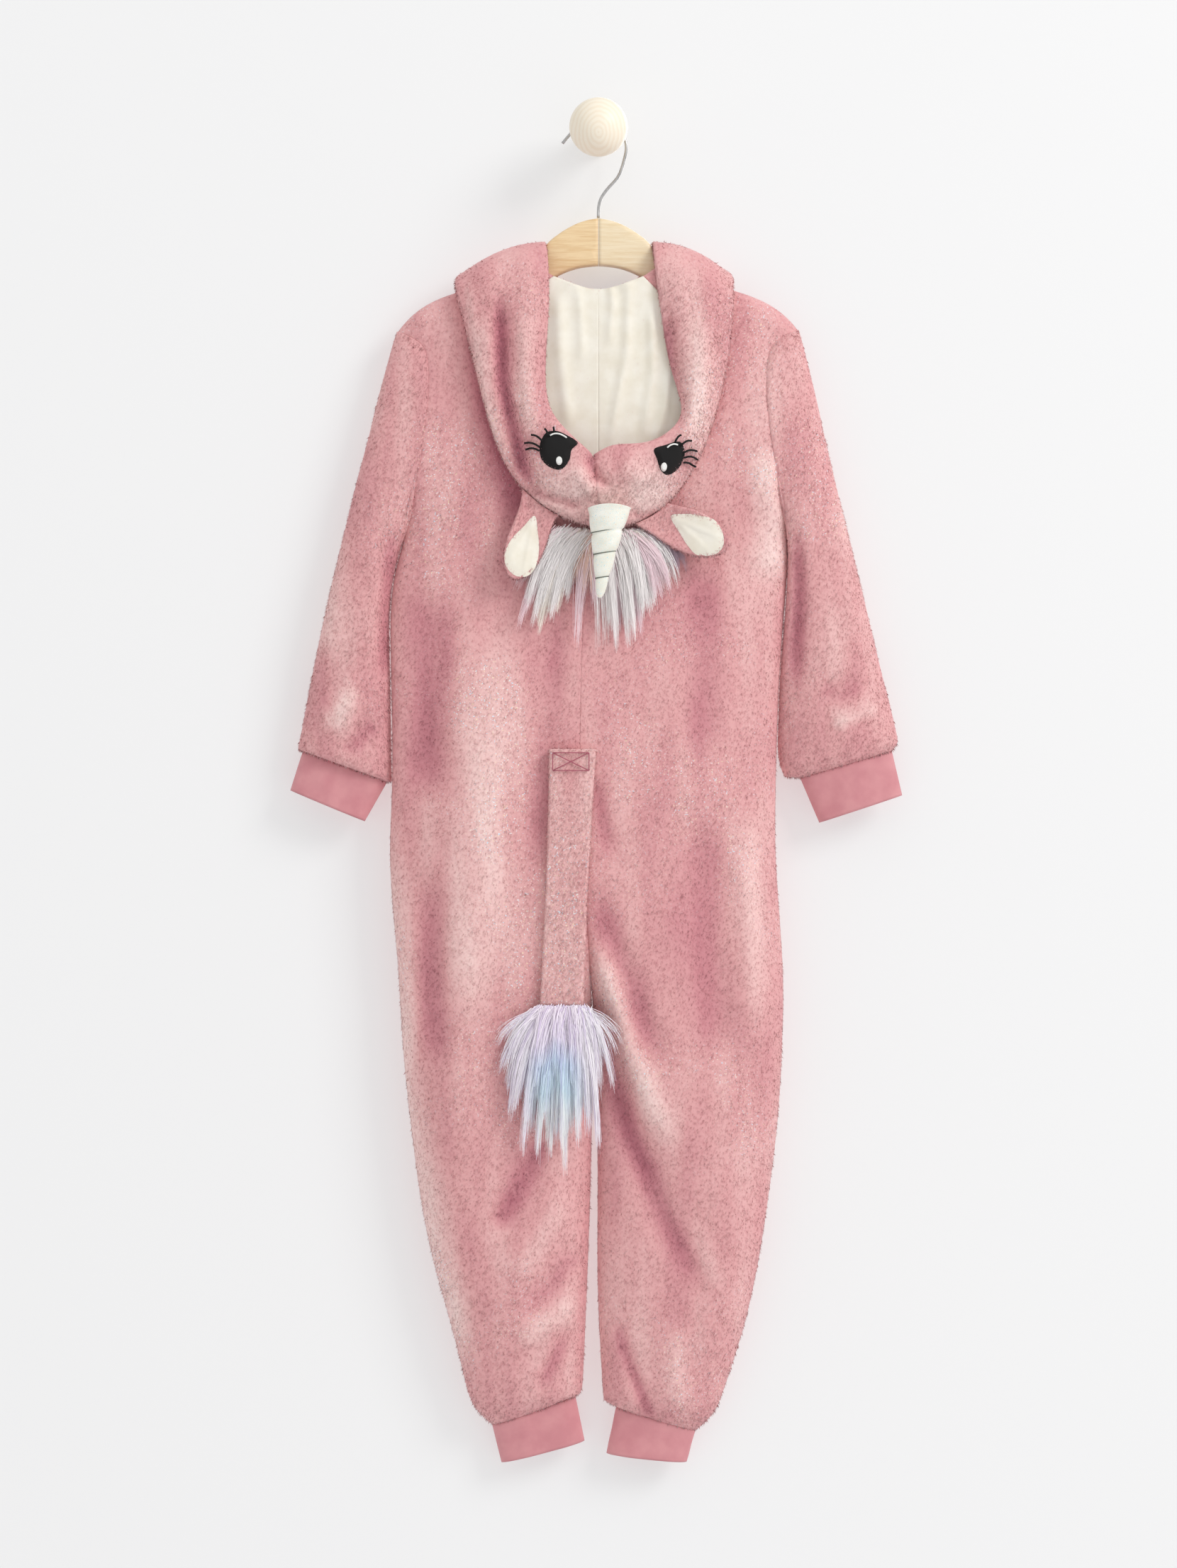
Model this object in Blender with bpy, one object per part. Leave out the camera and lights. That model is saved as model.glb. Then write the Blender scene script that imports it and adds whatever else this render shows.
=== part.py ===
"""A child's fleece jumpsuit with a unicorn hood, on a wooden hanger that hangs from a round wall knob.

Sizes are in millimetres and are turned into metres when a mesh is made. The origin is on the knob's
axis at the wall. The wall is the plane Y = 0, the garment's back faces -Y, and +Z is up.
"""
import math

import bmesh
import bpy
import numpy as np
from mathutils import Matrix, Vector
from mathutils.bvhtree import BVHTree

MM = 0.001

# Cloth walls and the spaces between them.
FLEECE = 2.5
RIB = 2.0
LINING = 1.0
SEAM_GAP = 0.4
LAYER_GAP = 0.35
LYING_GAP = 0.8
HOOD_GAP = 1.4
SHOULDER_GAP = 3.0
SHOULDER_LINE = 2.7

# The plane in which the hanger, the shoulder seams and the sleeves lie, and the space behind the body.
HANGER_Y = -25.0
WALL_SPACE = 6.0

# The turned knob, with its ball in front of the hook.
KNOB_NECK = 11.7
KNOB_BALL = 25.0
KNOB_BALL_Y = -56.0
KNOB_FLANGE = 14.0
KNOB_SIDES = 28

# The bent wire over the knob's neck, as a round loop and then a bend back to the middle.
WIRE_RADIUS = 1.5
LOOP_RADIUS = 25.0
LOOP_X = -1.0
LOOP_ANGLES = (140, -21, -12)
HOOK_LIP = ((-30.6, -7.8), (-26.6, -3.0))
HOOK_BEND = (
    (18.6, -34.5), (14, -40), (9, -45), (4.6, -50.5), (1.6, -55.5), (0.3, -61), (0, -66), (0, -71.2),
)

# The body's width at the neck, its shoulders and the slope of its armholes.
NECK_HALF_WIDTH = 60.0
NECK_LOW = {"back": -134.0, "front": -168.0}
NECK_DEPTH = {"back": 13.0, "front": 10.5}
UNDERARM_Z = -343.0
CENTRE_X_AT_UNDERARM = -8.0
SHOULDER_ROUND = 14.0
SHOULDER_TIP_ROUND = 6.0
YOKE_HALF_DEPTH = (14.0, 19.0)
ARMHOLE_OPEN = 0.82

# The profile of a section: how round it is at its seams, and where the body turns into two legs.
# Folds fade out over these shares of a panel's width at its centre and side edges.
ROUNDNESS = 2.5
FOLDS_FADE = (0.14, 0.2)
CROTCH_START_Z = -625.0
CROTCH_Z = -745.0

# The zip in the front, from the neck down.
ZIP_HALF_GAP = 3.5
ZIP_END_ROW = 7
SLIDER_Z = -192.0
PULL_LENGTH = 26.0
PULL_WIDTH = 7.0
PULL_THICKNESS = 1.2
PULL_TOP = 0.6
PULL_WINDOW = (3.4, 5.6)
TAPE_HALF_WIDTH = 6.0
TAPE_DEPTHS = (3.8, 3.0)
TEETH_DEPTHS = (2.3, 0.3)
SLIDER_SIZE = (10.0, 14.0)
SLIDER_RISE = 4.3
BRIDGE_WIDTH = 2.4
BRIDGE_BAR = 1.3
BRIDGE_WINDOW = 2.6

ACROSS_STEPS = 10
NECK_SHARE = (1 - math.cos(math.pi * 4 / ACROSS_STEPS)) / 2
YOKE_ROWS = (0, 0.008, 0.03, 0.07, 0.14, 0.28, 0.45, 0.62, 0.8, 1)
RING_STEPS = len(YOKE_ROWS) - 1
SIGN = {"left": -1, "right": 1}


def table(columns, rows):
    """A dictionary of arrays, one for each named column."""
    values = np.array(rows, dtype=float)
    return {name: values[:, place] for place, name in enumerate(columns.split())}


SHOULDER = table(
    "x z",
    [
        (54, -103), (56, -105.8), (64, -112.8), (80, -120.8), (100, -128.3), (113, -132.8),
        (130, -137.8), (145, -143.8), (157, -152.5), (166, -162), (171, -169),
    ],
)
SHOULDER_TIP_X = {"left": 171.0, "right": 170.0}
UNDERARM_X = {"left": 164.0, "right": 161.0}

# How far the armhole seam lies inside the line from the shoulder tip to the underarm.
ARMHOLE = table(
    "down inset",
    [(0, 0), (0.06, 20), (0.12, 24), (0.25, 25), (0.42, 21), (0.65, 14), (0.85, 6), (1, 0)],
)

# Sections of the body and the legs from the underarm to the ankle. The outer end is the side seam, and
# the inner end is the centre seam, or the inside leg seam below the crotch.
SECTION_COLUMNS = "outer_x outer_z inner_x inner_z half_depth"
SECTIONS = {
    "left": table(
        SECTION_COLUMNS,
        [
            (-164, -343, -8, -343, 19), (-171.5, -365, -9.5, -365, 20), (-177.5, -400, -12, -400, 21.5),
            (-176.5, -450, -14.8, -450, 23), (-175, -505, -15.8, -505, 24), (-174.8, -560, -16, -560, 25),
            (-178, -610, -14.5, -610, 25.5), (-175, -655, -11.5, -655, 26), (-170.8, -700, -8, -700, 26),
            (-168, -745, -5.6, -745, 25), (-165, -795, -5.4, -795, 24.5), (-158.5, -850, -5.8, -850, 24),
            (-151.8, -905, -7, -905, 23), (-141, -960, -9, -960, 22), (-126, -1010, -11, -1010, 20.5),
            (-115.2, -1054, -13, -1054, 18.5), (-111.6, -1072, -13.8, -1069, 17.5),
            (-105, -1088, -15.6, -1074, 16), (-90.8, -1100.8, -19.8, -1075.6, 11.5),
        ],
    ),
    "right": table(
        SECTION_COLUMNS,
        [
            (161, -343, -8, -343, 19), (161.5, -365, -9.5, -365, 20), (158.5, -400, -12, -400, 21.5),
            (154.5, -450, -14.8, -450, 23), (151.8, -505, -15.8, -505, 24), (150.5, -560, -16, -560, 25),
            (149.8, -610, -14.5, -610, 25.5), (153, -655, -11.5, -655, 26), (156.3, -700, -8, -700, 26),
            (157, -745, -4.4, -745, 25), (155.6, -795, -4, -795, 24.5), (151.8, -850, -0.5, -850, 24),
            (144.6, -905, -0.2, -905, 23), (136.5, -960, -1, -960, 22), (126, -1010, 0.5, -1010, 20.5),
            (112.2, -1054, 3, -1054, 18.5), (106, -1072, 4.2, -1072, 17.5),
            (100, -1090, 4.8, -1079, 16), (83.8, -1105.6, 14.4, -1084.8, 11.5),
        ],
    ),
}
SECTION_NUMBERS = np.arange(1, 20)
BODY_ROWS = YOKE_ROWS[:-1] + (1, 2, 3, 4, 5, 6, 7, 8, 9, 9.55, 9.85) + tuple(range(10, 20))
ANKLE_CUFF_END = {"left": (-82.8, -1133.4, -11.7, -1114.8), "right": (75.5, -1132.8, 6.9, -1125.6)}
ANKLE_CUFF_HALF_DEPTH = 10.0

# Sections of the sleeves from the armhole to the wrist, and where their cuffs end.
SLEEVES = {
    "left": table(
        SECTION_COLUMNS,
        [
            (-171, -169, -164, -343, 16), (-182, -208, -168.5, -352, 16.5), (-194, -254, -175, -372, 17),
            (-207, -302, -179.5, -400, 17.5), (-220, -357, -179.5, -435, 18), (-233, -411, -178.2, -472, 18),
            (-244.5, -466, -177.5, -508, 18), (-253, -512, -177, -541, 17.5),
            (-255.8, -523, -176.4, -551, 16), (-251.5, -523.5, -179.5, -551, 11.5),
        ],
    ),
    "right": table(
        SECTION_COLUMNS,
        [
            (170, -167.6, 161, -343, 16), (180, -206, 163.3, -352, 16.5), (191, -253, 164.5, -372, 17),
            (203, -303, 161.5, -400, 17.5), (216, -356, 157.3, -435, 18), (230, -412, 154.8, -472, 18),
            (242.5, -465, 153.4, -508, 18), (252.5, -508, 154.5, -536, 17.5),
            (254.8, -519, 160, -547, 16), (250.2, -524.5, 171.6, -547.5, 11.5),
        ],
    ),
}
SLEEVE_ROWS = tuple(range(10))
ARMHOLE_FADES_BY = 5.0
SLEEVE_END_Y = -22.0
WRIST_CUFF_END = {"left": (-262.8, -559.2, -199.2, -585.6), "right": (259.2, -563.4, 188.4, -586.8)}
WRIST_CUFF_HALF_DEPTH = 11.0

# The largest folds of the body. The lean is from the vertical, in degrees, and a height below 0 is a
# valley. Lengths and widths are half sizes.
FOLD_COLUMNS = "x z lean length width height"
FOLDS = {
    "back": table(
        FOLD_COLUMNS,
        [
            (-122, -670, 0, 270, 24, 5), (-152, -650, 2, 240, 14, -2.5), (58, -810, 28, 170, 20, 5),
            (32, -880, 31, 90, 14, -3.5), (-92, -902, -60, 60, 13, -2.5), (92, -480, -3, 150, 22, 3),
            (-84, -520, 2, 140, 18, -2.5), (100, -950, 14, 110, 16, 2.5), (-75, -990, 8, 90, 18, 2.5),
        ],
    ),
    "front": table(
        FOLD_COLUMNS,
        [
            (-90, -600, 3, 240, 24, 3), (80, -560, -4, 220, 26, 3), (-50, -860, -20, 110, 18, 3),
            (70, -880, 18, 120, 18, 3), (30, -480, -8, 120, 18, -2.5),
        ],
    ),
}

# The hood, as lines from the neck seam over the fold to the brim, from the front round to the back.
# The lean turns a line's up direction from the front over the shoulder to the back, in degrees.
HOOD_COLUMNS = "neck_x neck_y neck_z fold_x fold_y fold_z brim_x brim_y brim_z lean turn bulge valley"
HOOD = {
    "left": table(
        HOOD_COLUMNS,
        [
            (-6, -11, -167, -30, -8, -190, -10, -4.5, -160, 0, 3, 0.5, 0),
            (-34, -12, -142, -75, -9, -172, -30, -5, -128, 10, 3, 1, 0),
            (-54, -15, -115, -108, -14, -146, -44, -14, -101, 45, 3.6, 4, 0),
            (-62, -25, -105, -121, -25, -127, -46, -25, -91, 90, 5.5, 7, 0),
            (-55, -37, -112, -121, -38, -140, -43, -46, -108, 135, 5.5, 9, 4),
            (-38, -42, -124, -112, -42, -172, -42, -54, -150, 165, 6, 10, 6),
            (-22, -43, -130, -97, -48, -232, -45, -61, -200, 180, 7, 10, 6),
            (-11, -43, -134, -76, -50, -292, -42, -68, -238, 180, 9, 9, 3),
            (-4, -43, -135, -37, -55, -327, -22, -70, -262, 180, 11, 6, 0),
            (0, -43, -135, 0, -56, -339, -4, -72, -278, 180, 12, 5, 0),
        ],
    ),
    "right": table(
        HOOD_COLUMNS,
        [
            (6, -11, -167, 30, -8, -190, 10, -4.5, -160, 0, 3, 0.5, 0),
            (34, -12, -142, 75, -9, -172, 30, -5, -128, 10, 3, 1, 0),
            (54, -15, -115, 105, -14, -146, 44, -14, -101, 45, 3.6, 4, 0),
            (62, -25, -105, 114, -25, -131, 47, -25, -91, 90, 5.5, 7, 0),
            (55, -37, -112, 114, -38, -150, 48, -48, -118, 135, 5.5, 9, 3),
            (38, -42, -124, 110, -43, -195, 60, -54, -200, 165, 6, 10, 4),
            (22, -43, -130, 95, -48, -257, 72, -63, -243, 180, 7, 6, 0),
            (11, -43, -134, 66, -52, -311, 45, -70, -267, 180, 9, 8, 0),
            (4, -43, -135, 32, -56, -335, 13, -72, -269, 180, 11, 6, 0),
            (0, -43, -135, 0, -56, -339, -4, -72, -278, 180, 12, 5, 0),
        ],
    ),
}
HOOD_LINES = (0, 0.5, 1, 1.4, 1.8, 2.2, 2.6, 3, 3.4, 3.8, 4.2, 4.6, 5, 5.5, 6, 6.5, 7, 7.5, 8, 8.5, 9)
UPPER_PLACES = (0, 0.17, 0.33, 0.5, 0.67, 0.84, 1)
TURN_ANGLES = (45, 90, 135)
LOWER_PLACES = (0, 0.12, 0.3, 0.5, 0.7, 0.88, 1)
VALLEY_SHARE = 0.15
LINED_FROM_LINE = 12
LINED_FROM_PLACE = len(UPPER_PLACES) + len(TURN_ANGLES) + 1

# The ears hang from the hood's fold. Each leaf starts between two of the hood's lines.
EARS = {
    "left": {"lines": (7.35, 8.05), "tip": (-71, -69, -379), "half_width": 15.5, "cup": 4.0},
    "right": {"lines": (7.2, 7.95), "tip": (106, -69, -354), "half_width": 17.5, "cup": 4.0},
}
EAR_ROWS = (0, 0.16, 0.34, 0.52, 0.7, 0.85, 0.95, 1)
EAR_WIDTHS = (0.62, 0.78, 0.95, 1, 0.92, 0.7, 0.42, 0.2)
EAR_ACROSS = (-1, -0.55, 0, 0.55, 1)
EAR_LINING_SHARE = 0.72
EAR_SLANT = 1.25

HORN_BASE = (9.3, -317.0)
HORN_TIP = (1.2, -398.0)
HORN_HALF_WIDTH = 17.7
HORN_HALF_DEPTH = 11.0
HORN_TIP_SHARE = 0.13
HORN_RINGS = 6
HORN_SIDES = 20
HORN_TIP_Y = -78.0

# Locks of long fur. Each bar that they hang from is cut into cells, with one lock to a cell.
BAR_HEIGHT = 5.0
LOCK_INSET = 0.35
LOCK_TIP_SIZE = 0.22
MANE_BEHIND = 3.5
MANE_LAYERS = (-4.5, -1.5, 1.5, 4.5)
MANE_LINES = {"left": (8.12, 8.92, 6), "right": (8.96, 8.04, 9)}
MANE_TIP_DEPTHS = (-62.0, -54.5)
MANE_TIPS = table(
    "along x z",
    [
        (0, -62, -411), (0.12, -47, -426), (0.25, -32, -418), (0.4, -13, -434), (0.55, 4, -441),
        (0.7, 19, -439), (0.82, 37, -424), (0.92, 52, -400), (1, 68, -372),
    ],
)
TUFT_LAYERS = (-5.0, -2.5, 0, 2.5, 5.0)
TUFT_CELLS = 10
TUFT_TIP_DEPTHS = (-11.0, 1.0)
TUFT_TIPS = table(
    "along x z",
    [
        (0, -85, -812), (0.12, -76, -838), (0.3, -58, -846), (0.5, -38, -852), (0.7, -16, -857),
        (0.85, -2, -836), (1, 2, -806),
    ],
)

TAIL_TOP = (-21.6, -524.4)
TAIL_END = (-31.0, -741.0)
TAIL_WIDTHS = ((0, 40), (0.12, 38), (0.55, 35), (1, 37))
TAIL_THICKNESS = 6.0
TAIL_STATIONS = 13
TAIL_SIDES = 12
TAIL_SQUARENESS = 0.45
TAIL_RECEDES = 0.03

# The outline of one arm of the wooden hanger, from the joint outwards, and its rounded end.
ARM_THICKNESS = 10.0
ARM_EDGE_ROUND = 3.4
ARM_JOINT_X = 0.15
ARM_TOP = table(
    "x z",
    [
        (ARM_JOINT_X, -71.6), (12, -73.4), (24, -78.5), (34, -85), (44, -92.5), (47.5, -100), (51, -114),
        (56, -124), (64, -128), (80, -131), (100, -136.5), (113, -141), (130, -146.5), (138, -149.5),
    ],
)
ARM_END = (138.0, -160.5)
ARM_END_RADIUS = 11.0
ARM_BOTTOM = table(
    "x z",
    [
        (ARM_JOINT_X, -112.6), (12, -113.4), (23, -115.8), (38, -122.4), (60, -137), (90, -153),
        (120, -166), (138, -171.5),
    ],
)

# Red, green, blue, roughness and metal.
COLOURS = {
    "fleece": (0.62, 0.25, 0.29, 0.9, 0.0),
    "rib": (0.58, 0.20, 0.25, 0.85, 0.0),
    "lining": (0.86, 0.80, 0.68, 0.8, 0.0),
    "horn": (0.84, 0.86, 0.76, 0.45, 0.0),
    "mane": (0.88, 0.80, 0.80, 0.7, 0.0),
    "tuft": (0.70, 0.66, 0.86, 0.7, 0.0),
    "warm wood": (0.84, 0.63, 0.38, 0.55, 0.0),
    "pale wood": (0.88, 0.72, 0.50, 0.55, 0.0),
    "steel": (0.60, 0.60, 0.60, 0.3, 1.0),
    "zip": (0.50, 0.18, 0.22, 0.5, 0.0),
}


def smooth(at, places, values):
    """A smooth curve through the values at the places, read at one or more places."""
    places = np.asarray(places, dtype=float)
    values = np.asarray(values, dtype=float)
    slopes = np.gradient(values, places)
    at = np.clip(at, places[0], places[-1])
    first = np.clip(np.searchsorted(places, at, side="right") - 1, 0, len(places) - 2)
    step = places[first + 1] - places[first]
    share = (at - places[first]) / step
    square = share * share
    cube = square * share
    return (
        (2 * cube - 3 * square + 1) * values[first]
        + (cube - 2 * square + share) * step * slopes[first]
        + (3 * square - 2 * cube) * values[first + 1]
        + (cube - square) * step * slopes[first + 1]
    )


def unit(vectors):
    """The vectors at length 1."""
    return vectors / np.linalg.norm(vectors, axis=-1, keepdims=True)


def blend(start, end, share):
    return start + (end - start) * share


def ease(share):
    """Rises smoothly from 0 to 1 while the share does."""
    share = np.clip(share, 0, 1)
    return share * share * (3 - 2 * share)


# Materials and meshes.


def material(name):
    """A Principled material with one of the object's colours."""
    found = bpy.data.materials.get(name)
    if found:
        return found
    red, green, blue, roughness, metallic = COLOURS[name]
    made = bpy.data.materials.new(name)
    made.use_nodes = True
    shader = made.node_tree.nodes["Principled BSDF"]
    shader.inputs["Base Color"].default_value = (red, green, blue, 1)
    shader.inputs["Roughness"].default_value = roughness
    shader.inputs["Metallic"].default_value = metallic
    return made


def add_object(name, mesh, colour, round_under=40):
    """Puts a mesh into the scene, smooth but for its edges sharper than an angle in degrees."""
    mesh.shade_smooth()
    mesh.set_sharp_from_angle(angle=math.radians(round_under))
    mesh.materials.append(material(colour))
    made = bpy.data.objects.new(name, mesh)
    bpy.context.scene.collection.objects.link(made)
    return made


def mesh_from_bmesh(name, body):
    """The mesh of a closed body, its faces pointing out."""
    bmesh.ops.recalc_face_normals(body, faces=body.faces)
    if body.calc_volume(signed=True) < 0:
        bmesh.ops.reverse_faces(body, faces=body.faces)
    mesh = bpy.data.meshes.new(name)
    body.to_mesh(mesh)
    body.free()
    return mesh


def solid_bmesh(points, faces):
    """A closed body from points in millimetres and faces."""
    body = bmesh.new()
    corners = [body.verts.new(Vector(point) * MM) for point in points]
    for face in faces:
        body.faces.new([corners[place] for place in face])
    bmesh.ops.recalc_face_normals(body, faces=body.faces)
    return body


def add_solid(name, points, faces, colour, round_under=40):
    """Makes an object from points in millimetres and faces."""
    return add_object(name, mesh_from_bmesh(name, solid_bmesh(points, faces)), colour, round_under)


def add_tube(name, points, rings, sides, colour, round_under=40):
    """Makes an object from rings of points, one after the other, with a flat end on each side."""
    faces = grid_faces(rings, sides, True)
    last = (rings - 1) * sides
    faces.append(tuple(reversed(range(sides))))
    faces.append(tuple(range(last, last + sides)))
    return add_solid(name, points, faces, colour, round_under)


# Grids of points, and cloth walls made from them.


def grid_faces(rows, columns, closed):
    """Triangles over a grid, all cut along the same diagonal."""
    faces = []
    wide = columns if closed else columns - 1
    for row in range(rows - 1):
        for column in range(wide):
            right = (column + 1) % columns
            here, beside = row * columns + column, row * columns + right
            below, across = here + columns, beside + columns
            faces.append((here, beside, across))
            faces.append((here, across, below))
    return faces


def grid_normals(grid, closed, facing):
    """Normals of a grid that point on average along facing."""
    down = np.gradient(grid, axis=0)
    if closed:
        along = np.roll(grid, -1, axis=1) - np.roll(grid, 1, axis=1)
    else:
        along = np.gradient(grid, axis=1)
    normals = np.cross(along, down)
    normals = unit(normals + 1e-12 * np.ones(3))
    if np.sum(normals * facing) < 0:
        normals = -normals
    return normals


def share_normals(pieces):
    """Gives the points at which pieces meet one normal, so that cut edges lie face to face."""
    found = {}
    for grid, normals in pieces:
        for point, normal in zip(grid.reshape(-1, 3), normals.reshape(-1, 3)):
            key = tuple(np.round(point, 3))
            found[key] = found.get(key, 0) + normal
    for grid, normals in pieces:
        flat = normals.reshape(-1, 3)
        for place, point in enumerate(grid.reshape(-1, 3)):
            flat[place] = unit(found[tuple(np.round(point, 3))])


def draw_back(grid, edges, distance=SEAM_GAP / 2):
    """Moves the named edges of a grid back from their seams."""
    moved = grid.copy()
    ends = {"top": (0, 1), "bottom": (-1, -2)}
    for edge in edges:
        if edge in ends:
            last, before = ends[edge]
            moved[last] += unit(grid[before] - grid[last]) * distance
        else:
            last, before = {"start": (0, 1), "end": (-1, -2)}[edge]
            moved[:, last] += unit(grid[:, before] - grid[:, last]) * distance
    return moved


def add_wall(name, grid, normals, thickness, colour, edges=(), closed=False):
    """A cloth wall: a grid, the same grid moved in by the thickness, and the cut edges between them."""
    outside = draw_back(grid, edges)
    rows, columns = grid.shape[:2]
    count = rows * columns
    inside = outside - normals * thickness
    points = np.concatenate([outside.reshape(-1, 3), inside.reshape(-1, 3)])
    faces = grid_faces(rows, columns, closed)
    faces += [(count + c, count + b, count + a) for a, b, c in faces]
    wide = columns if closed else columns - 1
    for row in (0, rows - 1):
        for column in range(wide):
            second = row * columns + (column + 1) % columns
            faces += rim(points, row * columns + column, second)
    if not closed:
        for column in (0, columns - 1):
            for row in range(rows - 1):
                first = row * columns + column
                faces += rim(points, first, first + columns)
    return add_solid(name, points, faces, colour)


def rim(points, first, second):
    """Two triangles of a cut edge. Both sides of a seam are cut along the same diagonal."""
    count = len(points) // 2
    order = np.array((0.37, 0.11, 1))
    if points[first].dot(order) < points[second].dot(order):
        first, second = second, first
    return [(first, second, second + count), (first, second + count, first + count)]


# The body's panels.


def profile(across, legs):
    """How full a section is across its width: 1 at the fullest, 0 at a seam on its edge."""
    torso = (1 - across ** ROUNDNESS) ** 0.5
    leg = (1 - np.abs(2 * across - 1) ** ROUNDNESS) ** 0.5
    return blend(torso, leg, legs)


def fold_height(face, x, z):
    """The height of the face's folds at a place."""
    height = np.zeros(np.shape(x))
    folds = FOLDS[face]
    for place in range(len(folds["x"])):
        lean = math.radians(folds["lean"][place])
        off_x = x - folds["x"][place]
        off_z = z - folds["z"][place]
        along = off_x * math.sin(lean) - off_z * math.cos(lean)
        over = off_x * math.cos(lean) + off_z * math.sin(lean)
        size = np.exp(-((along / folds["length"][place]) ** 4) - (over / folds["width"][place]) ** 2)
        height = height + folds["height"][place] * size
    return height


def shoulder_z(x):
    return smooth(np.abs(x), SHOULDER["x"], SHOULDER["z"])


def top_edge(side, face, across):
    """The panel's top edge, the neckline and then the shoulder seam, as x and z."""
    neck = np.clip(across / NECK_SHARE, 0, 1)
    shoulder = np.clip((across - NECK_SHARE) / (1 - NECK_SHARE), 0, 1)
    neck_x = NECK_HALF_WIDTH * np.sin(neck * math.pi / 2)
    x = neck_x + (SHOULDER_TIP_X[side] - NECK_HALF_WIDTH) * shoulder
    neck_z = blend(NECK_LOW[face], shoulder_z(NECK_HALF_WIDTH), (neck_x / NECK_HALF_WIDTH) ** 2)
    return SIGN[side] * x, np.where(across < NECK_SHARE, neck_z, shoulder_z(x))


def armhole(side, down):
    """The armhole seam at a share of the way down, as x and z."""
    inset = smooth(down, ARMHOLE["down"], ARMHOLE["inset"])
    x = blend(SHOULDER_TIP_X[side], UNDERARM_X[side], down) - inset
    return SIGN[side] * x, blend(shoulder_z(SHOULDER_TIP_X[side]), UNDERARM_Z, down)


def yoke_section(side, face, across, down):
    """A row of the panel between the neck and the underarm: x, z, half depth and middle."""
    top_x, top_z = top_edge(side, face, across)
    low = NECK_LOW[face]
    end_x, end_z = armhole(side, down)
    start_x, start_z = armhole(side, 0)
    fading = (1 - down) ** 2
    x = blend(CENTRE_X_AT_UNDERARM * down, end_x, across) + fading * (top_x - start_x * across)
    z = blend(blend(low, UNDERARM_Z, down), end_z, across) + fading * (top_z - blend(low, start_z, across))
    opened = ARMHOLE_OPEN * math.sin(math.pi * down) ** 0.22 if 0 < down < 1 else 0
    full = profile(across, 0) * (1 - opened) + opened
    rise = 1 - np.clip((top_z - z) / blend(SHOULDER_ROUND, SHOULDER_TIP_ROUND, across ** 4), 0, 1)
    rounding = np.sqrt(1 - rise ** 2)
    neck = NECK_DEPTH[face] * np.sqrt(1 - np.sin(np.clip(across / NECK_SHARE, 0, 1) * math.pi / 2) ** 4)
    depth = neck * (1 - rounding) + blend(*YOKE_HALF_DEPTH, down) * full * rounding
    return x, z, depth, HANGER_Y


def section_ends(side, row):
    """The values of one section of the body, read between the table's rows."""
    return [smooth(row, SECTION_NUMBERS, SECTIONS[side][name]) for name in SECTION_COLUMNS.split()]


def lower_section(side, across, row):
    """A row of the panel from the underarm to the ankle: x, z, half depth and middle."""
    outer_x, outer_z, inner_x, inner_z, half_depth = section_ends(side, row)
    split = np.clip((CROTCH_START_Z - inner_z) / (CROTCH_START_Z - CROTCH_Z), 0, 1)
    legs = 1 - math.sqrt(1 - split ** 2)
    depth = half_depth * profile(across, legs)
    middle = -(WALL_SPACE + half_depth)
    return blend(inner_x, outer_x, across), blend(inner_z, outer_z, across), depth, middle


def panel_row(side, face, across, row):
    """One row of points of a panel, from its centre edge to its side edge."""
    if row < 1:
        x, z, depth, middle = yoke_section(side, face, across, row)
    else:
        x, z, depth, middle = lower_section(side, across, row)
    toward = 1 if face == "front" else -1
    fading = ease(across / FOLDS_FADE[0]) * ease((1 - across) / FOLDS_FADE[1])
    y = middle + toward * (depth + fold_height(face, x, z) * fading)
    return np.stack([x, y * np.ones_like(x), z], axis=-1)


def across_places(steps):
    """Places across a panel, closer together at its seams."""
    return (1 - np.cos(math.pi * np.arange(steps + 1) / steps)) / 2


def panel_grid(side, face, rows=BODY_ROWS, steps=ACROSS_STEPS):
    grid = np.array([panel_row(side, face, across_places(steps), row) for row in rows])
    if face == "front":
        open_by = ZIP_HALF_GAP * ease((ZIP_END_ROW - np.array(rows)) / 0.5)
        near = np.clip(1 - across_places(steps) / 0.2, 0, 1)
        grid[:, :, 0] += SIGN[side] * open_by[:, None] * near[None, :]
    return grid


# The sleeves and the cuffs.


def ring_angles(steps):
    """Angles round a sleeve from its outer edge over the back to the underarm and back in front."""
    return math.pi * np.arange(2 * steps) / steps


def ring(ends, half_depth, middle, angles):
    """An oval ring between an outer and an inner end."""
    outer_x, outer_z, inner_x, inner_z = ends
    share = (1 - np.cos(angles)) / 2
    x = blend(outer_x, inner_x, share)
    z = blend(outer_z, inner_z, share)
    return np.stack([x, middle - half_depth * np.sin(angles), z], axis=-1)


def armhole_ring(side, angles):
    """The armhole seam of the body, down its back and up its front."""
    points = []
    for angle in angles:
        face = "back" if angle <= math.pi else "front"
        place = min(angle, 2 * math.pi - angle) / math.pi * RING_STEPS
        down = float(smooth(place, np.arange(RING_STEPS + 1), YOKE_ROWS))
        points.append(panel_row(side, face, np.array([1.0]), min(down, 1))[0])
    return np.array(points)


def sleeve_grid(side, rows=SLEEVE_ROWS, steps=RING_STEPS):
    angles = ring_angles(steps)
    numbers = np.arange(len(SLEEVE_ROWS))
    grid = []
    for row in rows:
        *ends, half_depth = [smooth(row, numbers, SLEEVES[side][name]) for name in SECTION_COLUMNS.split()]
        middle = blend(HANGER_Y, SLEEVE_END_Y, row / numbers[-1])
        grid.append(ring(ends, half_depth, middle, angles))
    start = armhole_ring(side, angles)
    change = start - grid[0]
    for place, row in enumerate(rows):
        grid[place] = grid[place] + change * max(0, 1 - row / ARMHOLE_FADES_BY) ** 2
    return np.array(grid)


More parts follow.
